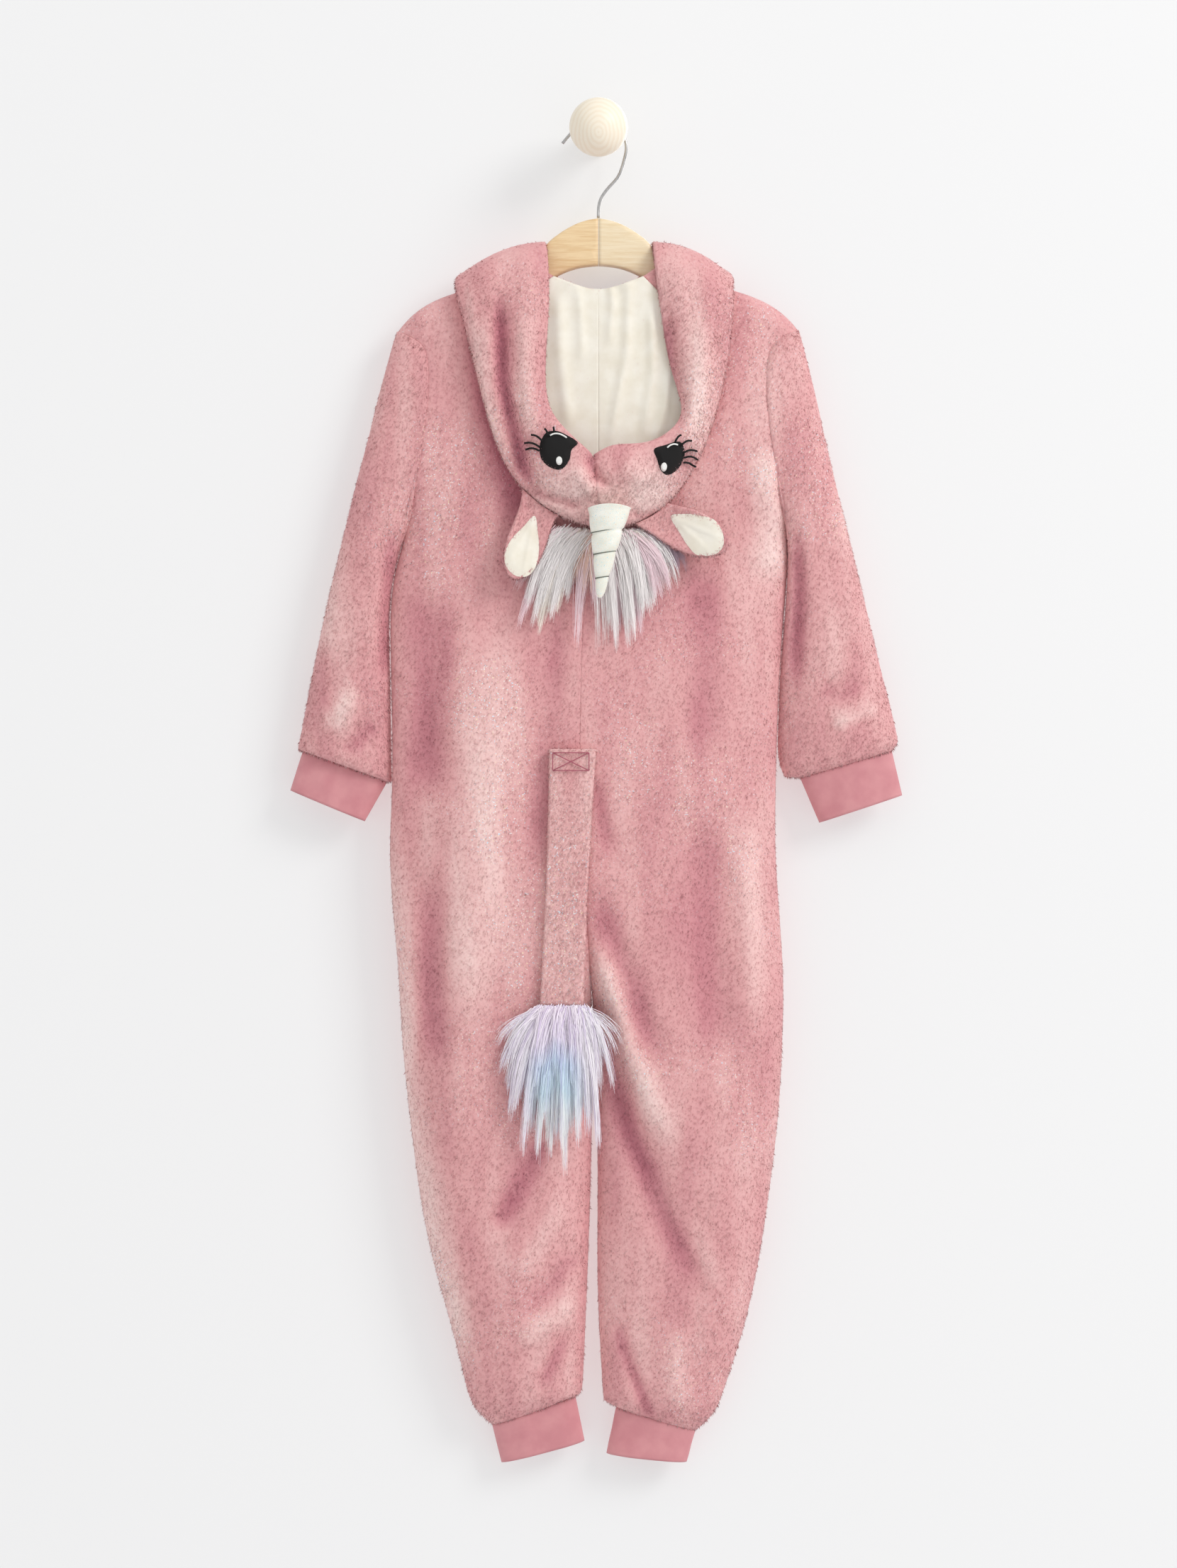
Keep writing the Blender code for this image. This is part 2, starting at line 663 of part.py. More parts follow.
def leg_ring(side, row):
    """A ring of a leg, over its back from the inside to the side seam, then over its front."""
    back = panel_row(side, "back", across_places(ACROSS_STEPS), row)
    front = panel_row(side, "front", across_places(ACROSS_STEPS), row)
    return np.concatenate([back, front[-2:0:-1]])


def ankle_end_ring(side):
    outer_x, outer_z, inner_x, inner_z = ANKLE_CUFF_END[side]
    across = across_places(ACROSS_STEPS)
    across = np.concatenate([across, across[-2:0:-1]])
    toward = np.where(np.arange(len(across)) <= ACROSS_STEPS, -1, 1)
    middle = -(WALL_SPACE + SECTIONS[side]["half_depth"][-1])
    y = middle + toward * ANKLE_CUFF_HALF_DEPTH * profile(across, 1)
    return np.stack([blend(inner_x, outer_x, across), y, blend(inner_z, outer_z, across)], axis=-1)


def cuff_grid(start, end):
    return np.array([blend(start, end, share) for share in (0, 0.5, 1)])


def outward(grid):
    """Directions from the middle of each ring of a grid to its points."""
    return grid - grid.mean(axis=1, keepdims=True)


def body_pieces():
    """The grids of the panels, sleeves and cuffs, with the normals that they share at their seams."""
    pieces = {}
    for side in SIGN:
        for face in ("back", "front"):
            grid = panel_grid(side, face)
            toward = np.array((0, 1 if face == "front" else -1, 0))
            pieces[f"{face}_{side}"] = (grid, grid_normals(grid, False, toward))
        sleeve = sleeve_grid(side)
        wrist = ring(WRIST_CUFF_END[side], WRIST_CUFF_HALF_DEPTH, SLEEVE_END_Y, ring_angles(RING_STEPS))
        grids = {
            f"sleeve_{side}": sleeve,
            f"wrist_cuff_{side}": cuff_grid(sleeve[-1], wrist),
            f"ankle_cuff_{side}": cuff_grid(leg_ring(side, BODY_ROWS[-1]), ankle_end_ring(side)),
        }
        for name, grid in grids.items():
            pieces[name] = (grid, grid_normals(grid, True, outward(grid)))
    share_normals(list(pieces.values()))
    return pieces


def add_body(pieces):
    for name, (grid, normals) in pieces.items():
        if "cuff" in name:
            drawn = draw_back(grid, ("top",), SEAM_GAP)
            add_wall(name, drawn, normals, RIB, "rib", closed=True)
        elif "sleeve" in name:
            add_wall(name, grid, normals, FLEECE, "fleece", ("top", "bottom"), closed=True)
        else:
            add_wall(name, grid, normals, FLEECE, "fleece", ("top", "bottom", "start", "end"))


def surface_tree(pieces, faces_wanted):
    """A search tree over the outer faces of some of the body's panels."""
    return grid_tree([pieces[f"{face}_{side}"][0] for face in faces_wanted for side in SIGN])


def grid_tree(grids):
    """A search tree over open grids."""
    points = []
    faces = []
    for grid in grids:
        start = len(points)
        points += [Vector(point) for point in grid.reshape(-1, 3)]
        faces += [tuple(start + place for place in face) for face in grid_faces(*grid.shape[:2], False)]
    return BVHTree.FromPolygons(points, faces)


def body_trees(pieces):
    """The surfaces that the hood lies on: the front, the shoulders and the back."""
    wanted = {"front": ("front",), "shoulder": ("front", "back"), "back": ("back",)}
    return {name: surface_tree(pieces, faces) for name, faces in wanted.items()}


def resting(point, away, tree, gap, reach=60.0):
    """The point moved along a direction until it rests a gap above the surface under it."""
    point = Vector(point)
    away = Vector(away)
    hit = tree.ray_cast(point + away * reach, -away, 2 * reach)[0]
    if hit is not None:
        return np.array(point + away * ((hit - point).dot(away) + gap))
    nearest, _, _, distance = tree.find_nearest(point)
    if nearest is not None and distance < gap:
        point = point + away * (gap - distance)
    return np.array(point)


# The hood.


def hood_line(side, line, trees):
    """Points of one line of the hood, from its brim over the fold to its neck seam."""
    numbers = np.arange(len(HOOD[side]["lean"]))
    value = {name: float(smooth(line, numbers, HOOD[side][name])) for name in HOOD_COLUMNS.split()}
    tree = trees["front" if value["lean"] < 60 else "shoulder" if value["lean"] < 120 else "back"]
    neck, fold, brim = (
        np.array([value[f"{part}_{axis}"] for axis in "xyz"]) for part in ("neck", "fold", "brim")
    )
    lean = math.radians(value["lean"])
    away = np.array((0, math.cos(lean), math.sin(lean)))
    out = fold - (neck + brim) / 2
    out = unit(out - away * out.dot(away))
    centre = fold - out * value["turn"]
    gap = HOOD_GAP + SHOULDER_GAP * math.exp(-(((line - SHOULDER_LINE) / 2) ** 2))
    centre = resting(centre, away, tree, gap + value["turn"])
    upper_start = centre + away * value["turn"]
    lower_start = centre - away * value["turn"]
    points = []
    for share in UPPER_PLACES:
        rise = value["bulge"] * math.sin(math.pi * share)
        rise -= value["valley"] * math.exp(-(((share - 0.5) / VALLEY_SHARE) ** 2))
        points.append(blend(brim, upper_start, share) + away * rise)
    for angle in TURN_ANGLES:
        turned = math.radians(angle)
        points.append(centre + value["turn"] * (away * math.cos(turned) + out * math.sin(turned)))
    for share in LOWER_PLACES:
        points.append(resting(blend(lower_start, neck, share), away, tree, gap))
    return points, centre + out * value["turn"], out


def hood_grid(side, trees, lines=HOOD_LINES):
    return np.array([hood_line(side, line, trees)[0] for line in lines])


def add_hood(trees):
    """The hood's two halves and the lining that shows in its opening. Returns the halves' grids."""
    shells = {}
    for side in SIGN:
        grid = hood_grid(side, trees)
        out = grid - grid.mean(axis=1, keepdims=True)
        shells[side] = (grid, grid_normals(grid, False, out))
    share_normals(list(shells.values()))
    for side, (grid, normals) in shells.items():
        add_wall(f"hood_{side}", grid, normals, FLEECE, "fleece", ("bottom",))
        part = (slice(LINED_FROM_LINE, None), slice(LINED_FROM_PLACE, None))
        lining = grid[part] - normals[part] * (FLEECE + LAYER_GAP)
        add_wall(f"hood_lining_{side}", lining, normals[part], LINING, "lining", ("bottom",))
    return {side: grid for side, (grid, _) in shells.items()}


# The ears, the horn and the mane.


def ear_grid(side, trees):
    """A cupped leaf from the hood's fold to the ear's tip."""
    ear = EARS[side]
    base = []
    for line in np.linspace(*ear["lines"], len(EAR_ACROSS)):
        _, tip, out = hood_line(side, line, trees)
        base.append(tip + out * LYING_GAP)
    base = np.array(base)
    root = base[len(EAR_ACROSS) // 2]
    axis = np.array(ear["tip"]) - root
    sideways = unit(np.cross(axis, (0, -1, 0)))
    if sideways.dot(base[-1] - base[0]) < 0:
        sideways = -sideways
    grid = []
    for place, width in zip(EAR_ROWS, EAR_WIDTHS):
        row = []
        for column, over in enumerate(EAR_ACROSS):
            point = root + axis * place + sideways * ear["half_width"] * width * over
            point[1] += ear["cup"] * (1 - over ** 2) * math.sin(math.pi * min(place + 0.2, 1))
            row.append(blend(base[column], point, ease(place / 0.3)))
        grid.append(row)
    return np.array(grid)


def ear_lining(outer):
    """The cream leaf in the ear's hollow: the outer leaf drawn in from its edges, over its inner face."""
    rows = np.linspace(0.14, 0.93, len(EAR_ROWS)) * (len(EAR_ROWS) - 1)
    columns = 2 + 2 * EAR_LINING_SHARE * np.array((-1, -0.5, 0, 0.5, 1))
    grid = np.zeros((len(rows), len(columns), 3))
    for axis in range(3):
        narrow = np.array([np.interp(columns, np.arange(5), row) for row in outer[:, :, axis]])
        for column in range(len(columns)):
            grid[:, column, axis] = np.interp(rows, np.arange(len(outer)), narrow[:, column])
    grid[:, :, 1] -= FLEECE * EAR_SLANT + LAYER_GAP
    return grid


def add_ears(trees):
    for side in SIGN:
        outer = ear_grid(side, trees)
        add_wall(f"ear_outer_{side}", outer, grid_normals(outer, False, (0, 1, 0)), FLEECE, "fleece")
        inner = ear_lining(outer)
        add_wall(f"ear_inner_{side}", inner, grid_normals(inner, False, (0, 1, 0)), LINING, "lining")


def add_horn(hood):
    """A soft cone, wider than it is deep, that lies on the hood's front layer."""
    front_layers = [grid[:, : len(UPPER_PLACES) + 1] for grid in hood.values()]
    tree = grid_tree(front_layers)
    under = []
    for x in HORN_BASE[0] + np.array((-6, -3, 0, 3, 6)):
        for z in HORN_BASE[1] - np.array((0, 4, 8, 12)):
            hit = tree.ray_cast(Vector((x, -200, z)), Vector((0, 1, 0)))[0]
            if hit is not None:
                under.append(hit.y)
    base_y = min(under) - LAYER_GAP - HORN_HALF_DEPTH
    corners = []
    for share in np.linspace(0, 1, HORN_RINGS):
        size = blend(1, HORN_TIP_SHARE, share)
        middle_x = blend(HORN_BASE[0], HORN_TIP[0], share)
        middle_z = blend(HORN_BASE[1], HORN_TIP[1], share)
        middle_y = blend(base_y, HORN_TIP_Y, share)
        for turn in np.arange(HORN_SIDES) * 2 * math.pi / HORN_SIDES:
            x = middle_x + HORN_HALF_WIDTH * size * math.cos(turn)
            corners.append((x, middle_y + HORN_HALF_DEPTH * size * math.sin(turn), middle_z))
    add_tube("horn", corners, HORN_RINGS, HORN_SIDES, "horn")


def add_locks(name, strip, layers, tip_of, colour, swell):
    """A bar with one tapered lock drawn out of each cell of its underside.

    The strip lists points along the bar's underside with the bar's up direction there, and layers
    are the depths that part it into cells. tip_of gives a lock's tip from its shares along and
    through the bar and from its cell's two numbers.
    """
    body = bmesh.new()
    count = len(strip)
    depths = [Vector((0, depth, 0)) for depth in layers]
    bottom = []
    top = []
    for point, up in strip:
        low = [Vector(point) + depth for depth in depths]
        high = [corner + Vector(up) * BAR_HEIGHT for corner in low]
        bottom.append([body.verts.new(corner * MM) for corner in low])
        top.append([body.verts.new(corner * MM) for corner in high])
    cells = []
    for place in range(count - 1):
        for layer in range(len(layers) - 1):
            corners = [(place, layer), (place + 1, layer), (place + 1, layer + 1), (place, layer + 1)]
            cells.append((place, layer, body.faces.new([bottom[a][b] for a, b in corners])))
            body.faces.new([top[a][b] for a, b in reversed(corners)])
    outline = [(place, 0) for place in range(count)]
    outline += [(count - 1, layer) for layer in range(1, len(layers))]
    outline += [(place, len(layers) - 1) for place in range(count - 2, -1, -1)]
    outline += [(0, layer) for layer in range(len(layers) - 2, 0, -1)]
    for (a, b), (c, d) in zip(outline, outline[1:] + outline[:1]):
        body.faces.new([bottom[c][d], bottom[a][b], top[a][b], top[c][d]])
    body.normal_update()
    for place, layer, face in cells:
        along = (place + 0.5) / (count - 1)
        through = (layer + 0.5) / (len(layers) - 1)
        tip = Vector(tip_of(along, through, place, layer)) * MM
        draw_lock(body, face, tip, swell)
    add_object(name, mesh_from_bmesh(name, body), colour)


def draw_lock(body, face, tip, swell):
    """Draws one face of a backing out to a tip, in two tapering lengths."""
    root = face.calc_center_median()
    bmesh.ops.inset_individual(body, faces=[face], thickness=LOCK_INSET * MM)
    for reach, size in ((0.5, swell), (1.0, LOCK_TIP_SIZE / swell)):
        face = bmesh.ops.extrude_discrete_faces(body, faces=[face])["faces"][0]
        middle = face.calc_center_median()
        target = root.lerp(tip, reach)
        for corner in face.verts:
            offset = corner.co - middle
            corner.co = target + Vector((offset.x * size, offset.y * min(size, 1), offset.z * 0.5))


def add_mane(trees):
    """The mane's locks, fanned out under the hood's fold."""
    strip = []
    for side in SIGN:
        for line in np.linspace(*MANE_LINES[side]):
            _, tip, out = hood_line(side, line, trees)
            under = tip + out * (LYING_GAP + BAR_HEIGHT) + np.array((0, MANE_BEHIND, 0))
            strip.append((under, -out))

    def tip_of(along, through, place, layer):
        x = smooth(along, MANE_TIPS["along"], MANE_TIPS["x"])
        z = smooth(along, MANE_TIPS["along"], MANE_TIPS["z"])
        shorter = 14 * through + 7 * abs(math.sin(2.3 * place + 1.7 * layer))
        return x, blend(*MANE_TIP_DEPTHS, through), z + shorter

    add_locks("mane", strip, MANE_LAYERS, tip_of, "mane", 1.15)


# The tail.


def tail_stations(tree):
    """Middles and widths of the flat tail, which lies on the back and hangs free below the seat."""
    stations = []
    last_y = 0
    for share in np.linspace(0, 1, TAIL_STATIONS):
        x = blend(TAIL_TOP[0], TAIL_END[0], share)
        z = blend(TAIL_TOP[1], TAIL_END[1], share)
        width = float(np.interp(share, *zip(*TAIL_WIDTHS)))
        under = []
        for over in (-0.5, -0.25, 0, 0.25, 0.5):
            hit = tree.ray_cast(Vector((x + width * over, -200, z)), Vector((0, 1, 0)))[0]
            under.append(hit.y)
        y = min(under) - LYING_GAP - TAIL_THICKNESS / 2
        step = (TAIL_TOP[1] - TAIL_END[1]) / (TAIL_STATIONS - 1)
        last_y = min(y, last_y + TAIL_RECEDES * step)
        if share == 0:
            last_y = y
        stations.append(((x, last_y, z), width))
    return stations


def add_tail(tree):
    stations = tail_stations(tree)
    points = []
    for (x, y, z), width in stations:
        for turn in np.arange(TAIL_SIDES) * 2 * math.pi / TAIL_SIDES:
            over = math.copysign(abs(math.cos(turn)) ** TAIL_SQUARENESS, math.cos(turn))
            deep = math.copysign(abs(math.sin(turn)) ** TAIL_SQUARENESS, math.sin(turn))
            points.append((x + over * width / 2, y + deep * TAIL_THICKNESS / 2, z))
    add_tube("tail", points, TAIL_STATIONS, TAIL_SIDES, "fleece", 50)
    return stations[-1]


def add_tuft(tail_end):
    """The long fur at the tail's end: locks from a bar just under the tail."""
    (x, y, z), width = tail_end
    strip = []
    for over in np.linspace(-0.5, 0.5, TUFT_CELLS + 1):
        strip.append((np.array((x + over * width, y, z - SEAM_GAP - BAR_HEIGHT)), (0, 0, 1)))

    def tip_of(along, through, place, layer):
        shorter = 12 * abs(through - 0.4) + 16 * abs(math.sin(1.9 * place + 2.6 * layer))
        tip_x = smooth(along, TUFT_TIPS["along"], TUFT_TIPS["x"])
        tip_z = smooth(along, TUFT_TIPS["along"], TUFT_TIPS["z"])
        return tip_x, y + blend(*TUFT_TIP_DEPTHS, through), tip_z + shorter

    add_locks("tail_tuft", strip, TUFT_LAYERS, tip_of, "tuft", 1.6)


# The zip in the front.


def front_line(rows):
    """Points down the middle of the front, where the zip lies."""
    left = np.array([panel_row("left", "front", np.array([0.0]), row)[0] for row in rows])
    right = np.array([panel_row("right", "front", np.array([0.0]), row)[0] for row in rows])
    return (left + right) / 2


def add_band(name, line, offset, half_width, depths, colour):
    """A flat band along the zip, between two depths behind the front's surface."""
    back, front = depths
    points = []
    for x, y, z in line:
        for side, depth in ((-1, back), (1, back), (1, front), (-1, front)):
            points.append((x + offset + side * half_width, y - depth, z))
    add_tube(name, points, len(line), 4, colour, 30)


def add_box(name, centre, size, colour):
    """A plain box, in millimetres."""
    body = bmesh.new()
    bmesh.ops.create_cube(body, size=MM)
    bmesh.ops.scale(body, vec=size, verts=body.verts)
    bmesh.ops.translate(body, vec=Vector(centre) * MM, verts=body.verts)
    return add_object(name, mesh_from_bmesh(name, body), colour, 30)


def join_or_cut(target, tool, operation):
    """Joins a helper to an object or cuts it out of it."""
    tool.hide_render = True
    tool.display_type = "WIRE"
    modifier = target.modifiers.new(operation.title(), "BOOLEAN")
    modifier.object = tool
    modifier.operation = operation
    modifier.solver = "EXACT"


def add_zip():
    """The tapes, the teeth, the slider with its bridge, and the pull tab that hangs from it."""
    line = front_line(list(YOKE_ROWS[2:-1]) + list(range(1, ZIP_END_ROW)))
    add_band("zip_teeth", line, 0, ZIP_HALF_GAP - 0.7, TEETH_DEPTHS, "zip")
    for side, sign in SIGN.items():
        offset = sign * (TAPE_HALF_WIDTH + 0.3)
        add_band(f"zip_tape_{side}", line, offset, TAPE_HALF_WIDTH, TAPE_DEPTHS, "zip")
    places = front_line(np.linspace(YOKE_ROWS[2], 0.6, 40))
    x, y, z = places[np.argmin(np.abs(places[:, 2] - SLIDER_Z))]
    back = y + 0.6
    face = y + SLIDER_RISE
    width, height = SLIDER_SIZE
    slider = add_box("zip_slider", (x, (back + face) / 2, z), (width, face - back, height), "steel")
    reach = BRIDGE_WINDOW + BRIDGE_BAR
    bridge_size = (BRIDGE_WIDTH, reach + 0.4, 2 * reach)
    bridge = add_box("bridge", (x, face + reach / 2 - 0.2, z), bridge_size, "steel")
    hole_size = (BRIDGE_WIDTH * 2, BRIDGE_WINDOW, 2 * BRIDGE_WINDOW)
    hole = add_box("bridge_hole", (x, face + BRIDGE_WINDOW / 2, z), hole_size, "steel")
    join_or_cut(bridge, hole, "DIFFERENCE")
    join_or_cut(slider, bridge, "UNION")
    add_pull(Vector((x, face + BRIDGE_WINDOW / 2, z)) * MM)


def add_pull(axis):
    """The pull tab, with its origin on the axis that it swings about."""
    window_width, window_height = PULL_WINDOW
    pull = add_box("zip_pull", (0, 0, 0), (PULL_WIDTH, PULL_THICKNESS, PULL_LENGTH), "steel")
    window = add_box("pull_window", (0, 0, 0), (window_width, PULL_THICKNESS * 3, window_height), "steel")
    pull.data.transform(Matrix.Translation(Vector((0, 0, PULL_TOP - PULL_LENGTH / 2)) * MM))
    window.data.transform(Matrix.Translation(Vector((0, 0, -PULL_TOP - window_height / 2)) * MM))
    pull.location = axis
    window.location = axis
    join_or_cut(pull, window, "DIFFERENCE")


# The hanger, its hook and the knob.


def on_cap(edge):
    """Whether an edge runs round the front or the back of an arm."""
    start, end = (corner.co for corner in edge.verts)
    return abs(start.y - end.y) < 0.1 * MM


def at_joint(edge):
    """Whether an edge lies in the joint between the two arms."""
    return all(abs(corner.co.x) < 1 * MM for corner in edge.verts)


def add_hanger():
    """Two arms that meet in a joint in the middle, with rounded edges and ends."""
    for side, sign in SIGN.items():
        outline = list(zip(ARM_TOP["x"], ARM_TOP["z"]))
        for angle in np.radians(np.linspace(70, -70, 6)):
            x = ARM_END[0] + ARM_END_RADIUS * math.cos(angle)
            outline.append((x, ARM_END[1] + ARM_END_RADIUS * math.sin(angle)))
        outline += reversed(list(zip(ARM_BOTTOM["x"], ARM_BOTTOM["z"])))
        count = len(outline)
        points = [(sign * x, HANGER_Y - ARM_THICKNESS / 2, z) for x, z in outline]
        points += [(sign * x, HANGER_Y + ARM_THICKNESS / 2, z) for x, z in outline]
        faces = [tuple(range(count)), tuple(range(count, 2 * count))]
        for place in range(count):
            after = (place + 1) % count
            faces.append((after, place, place + count, after + count))
        body = solid_bmesh(points, faces)
        edges = [edge for edge in body.edges if on_cap(edge) and not at_joint(edge)]
        bmesh.ops.bevel(
            body, geom=edges, offset=ARM_EDGE_ROUND * MM, segments=2, profile=0.5, affect="EDGES"
        )
        name = f"hanger_arm_{side}"
        colour = "warm wood" if side == "left" else "pale wood"
        add_object(name, mesh_from_bmesh(name, body), colour, 35)


def add_hook():
    """The steel wire: an arc over the knob's neck, a straight lip and a bend back to the hanger."""
    loop_z = KNOB_NECK + LAYER_GAP + WIRE_RADIUS - LOOP_RADIUS
    points = list(HOOK_LIP)
    for angle in np.radians(np.arange(*LOOP_ANGLES)):
        points.append((LOOP_X + LOOP_RADIUS * math.cos(angle), loop_z + LOOP_RADIUS * math.sin(angle)))
    points += HOOK_BEND
    curve = bpy.data.curves.new("hanger_hook", "CURVE")
    curve.dimensions = "3D"
    curve.bevel_depth = WIRE_RADIUS * MM
    curve.bevel_resolution = 2
    curve.use_fill_caps = True
    spline = curve.splines.new("POLY")
    spline.points.add(len(points) - 1)
    for point, (x, z) in zip(spline.points, points):
        point.co = (x * MM, HANGER_Y * MM, z * MM, 1)
    curve.materials.append(material("steel"))
    bpy.context.scene.collection.objects.link(bpy.data.objects.new("hanger_hook", curve))


def add_knob():
    """A turned knob: a flange on the wall, a neck for the hook and a ball."""
    start = math.asin(KNOB_NECK / KNOB_BALL)
    outline = [(KNOB_FLANGE, 0), (KNOB_FLANGE, -5), (KNOB_NECK, -9)]
    for angle in np.linspace(start, math.pi, 14)[:-1]:
        outline.append((KNOB_BALL * math.sin(angle), KNOB_BALL_Y + KNOB_BALL * math.cos(angle)))
    points = []
    for radius, y in outline:
        for turn in np.arange(KNOB_SIDES) * 2 * math.pi / KNOB_SIDES:
            points.append((radius * math.cos(turn), y, radius * math.sin(turn)))
    faces = grid_faces(len(outline), KNOB_SIDES, True)
    faces.append(tuple(range(KNOB_SIDES)))
    last = (len(outline) - 1) * KNOB_SIDES
    tip = len(points)
    points.append((0, KNOB_BALL_Y - KNOB_BALL, 0))
    for place in range(KNOB_SIDES):
        faces.append((last + place, last + (place + 1) % KNOB_SIDES, tip))
    add_solid("knob", points, faces, "pale wood", 35)


def main():
    for old in list(bpy.data.objects):
        bpy.data.objects.remove(old)
    pieces = body_pieces()
    add_body(pieces)
    trees = body_trees(pieces)
    hood = add_hood(trees)
    add_ears(trees)
    add_horn(hood)
    add_mane(trees)
    add_tuft(add_tail(trees["back"]))
    add_zip()
    add_hanger()
    add_hook()
    add_knob()


main()
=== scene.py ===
"""The dressed model of a child's fleece jumpsuit with a unicorn hood, hung on a wall.

Fine cloth is worked out from the frame's own walls. Places in the tables are in millimetres, in the
frame's axes: X to the right, Y into the wall and Z up, from the knob's axis at the wall.
"""
import math

import bmesh
import bpy
import numpy as np
from mathutils import Matrix, Vector, noise
from mathutils.bvhtree import BVHTree


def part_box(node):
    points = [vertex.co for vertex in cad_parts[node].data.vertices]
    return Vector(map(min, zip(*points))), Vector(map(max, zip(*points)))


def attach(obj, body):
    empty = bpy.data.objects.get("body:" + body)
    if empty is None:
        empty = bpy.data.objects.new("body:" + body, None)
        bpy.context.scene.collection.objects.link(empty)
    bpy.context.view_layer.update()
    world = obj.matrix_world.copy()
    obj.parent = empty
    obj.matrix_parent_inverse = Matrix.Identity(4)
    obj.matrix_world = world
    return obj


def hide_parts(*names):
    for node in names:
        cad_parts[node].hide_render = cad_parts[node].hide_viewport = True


MM = 0.001
SEED = 7

# The camera stands square to the wall, far enough away that the picture shows little perspective.
PICTURE_CENTRE = (-8.4, -553.8)
PICTURE_HEIGHT = 1327.0
GARMENT_PLANE_Y = -45.0
CAMERA_DISTANCE = 2800.0
SENSOR_HEIGHT = 24.0

# The pile: how many blades stand on a piece, how long and wide they are, how far they lean down, how far
# their roots go into the cloth and how unruly they are.
PILE_COUNTS = {
    "back": 105000, "front": 32000, "sleeve": 50000, "hood": 42000, "ear_outer": 5000, "tail": 8000,
}
PILE_LENGTH = 2.6
PILE_WIDTH = 0.95
PILE_LEAN = 1.5
PILE_ROOT = 0.6
PILE_LOOSE = 0.22

# How light the nap is where nothing turns it, and what the folds and the noises add: the folds add painted
# shade in their valleys and a painted highlight on their ridges, and the noises add streaks and patches at
# random. A noise is its share, the size of its lumps along each axis and its offset.
NAP_MIDDLE = 0.5
PAINTED_FOLD_SHADE = 0.64
NAP_NOISES = (
    (0.17, (16, 30, 90), 2.0),
    (0.08, (40, 60, 70), 7.0),
    (0.05, (4, 6, 7), 11.0),
)

# A wall's sides, as the material indices of its faces, and the angle from which an edge is sharp.
OUTER, INNER, EDGE = 0, 1, 2
SHARP_ANGLE = math.radians(50)

# The large folds: the line that each one follows, its half width, its height, below 0 for a valley, and
# how much lighter the nap on it is painted, below 0 for darker: a painted highlight on its ridge, painted
# shade in its valley.
BACK_FOLDS = (
    # The left half of the body, from the shoulder down.
    (((-164, -225), (-166, -290), (-166, -340)), 7, -4.0, -0.5),
    # Painted shadow of the hood's left edge, over a shallow valley.
    (((-100, -150), (-92, -235), (-70, -300), (-66, -350)), 13, -2.0, -0.85),
    (((-143, -380), (-144, -470), (-143, -580)), 18, -4.5, -0.5),
    (((-92, -400), (-98, -622), (-116, -780)), 26, 4.5, 0.5),
    (((-143, -620), (-141, -700), (-139, -800)), 13, -4.0, -0.4),
    # A valley with painted shade where the tail's shadow falls beside it.
    (((-40, -400), (-46, -540), (-52, -640)), 16, -2.5, -0.3),
    # No fold here: a painted highlight down the left side of the body and leg.
    (((-176, -560), (-167, -802), (-134, -982), (-96, -1078)), 15, 0.0, 0.6),
    # The left leg.
    (((-44, -846), (-64, -892), (-92, -934)), 9, -5.0, -0.7),
    (((-28, -896), (-48, -940), (-76, -978)), 10, 3.5, 0.35),
    (((-18, -946), (-36, -976), (-62, -1000)), 7, -3.0, -0.4),
    (((-18, -990), (-40, -1008), (-72, -1024)), 9, 3.0, 0.4),
    (((-22, -1014), (-36, -1040), (-52, -1070)), 6, -3.0, -0.4),
    # The right half of the body.
    (((150, -205), (158, -260), (160, -330)), 7, -4.0, -0.5),
    (((140, -260), (147, -330), (146, -390)), 14, 2.5, 0.6),
    (((88, -360), (90, -450), (86, -540)), 18, -3.0, -0.35),
    (((86, -570), (91, -682), (107, -800)), 19, -5.0, -0.42),
    (((120, -560), (128, -680), (136, -780)), 13, 3.5, 0.3),
    (((-6, -545), (2, -580), (14, -620)), 9, -3.0, -0.4),
    # The right leg.
    (((-4, -640), (22, -712), (54, -800)), 11, -4.0, -0.45),
    (((-5, -676), (28, -784), (66, -868)), 10, 5.0, 0.6),
    (((4, -780), (26, -850), (62, -930), (102, -996)), 10, -6.0, -0.75),
    (((40, -880), (80, -950), (112, -990)), 11, 3.0, 0.35),
    (((14, -1010), (28, -1050), (48, -1100)), 5, -3.0, -0.6),
    (((70, -1010), (64, -1050), (66, -1090)), 11, 2.5, 0.3),
)
SLEEVE_FOLDS = (
    (((-176, -330), (-178, -390), (-181, -470)), 7, -3.5, -0.55),
    (((-218, -330), (-228, -400), (-238, -455)), 12, 2.5, 0.35),
    (((-205, -470), (-222, -500), (-240, -500)), 9, 3.0, 0.55),
    (((-188, -500), (-205, -520), (-220, -524)), 6, -2.5, -0.4),
    (((168, -330), (170, -400), (166, -480)), 6, -3.5, -0.6),
    (((206, -300), (216, -380), (222, -450)), 12, 2.5, 0.2),
    (((196, -505), (222, -492), (238, -484)), 8, 3.0, 0.55),
    (((186, -470), (204, -478), (222, -466)), 7, -2.5, -0.35),
)
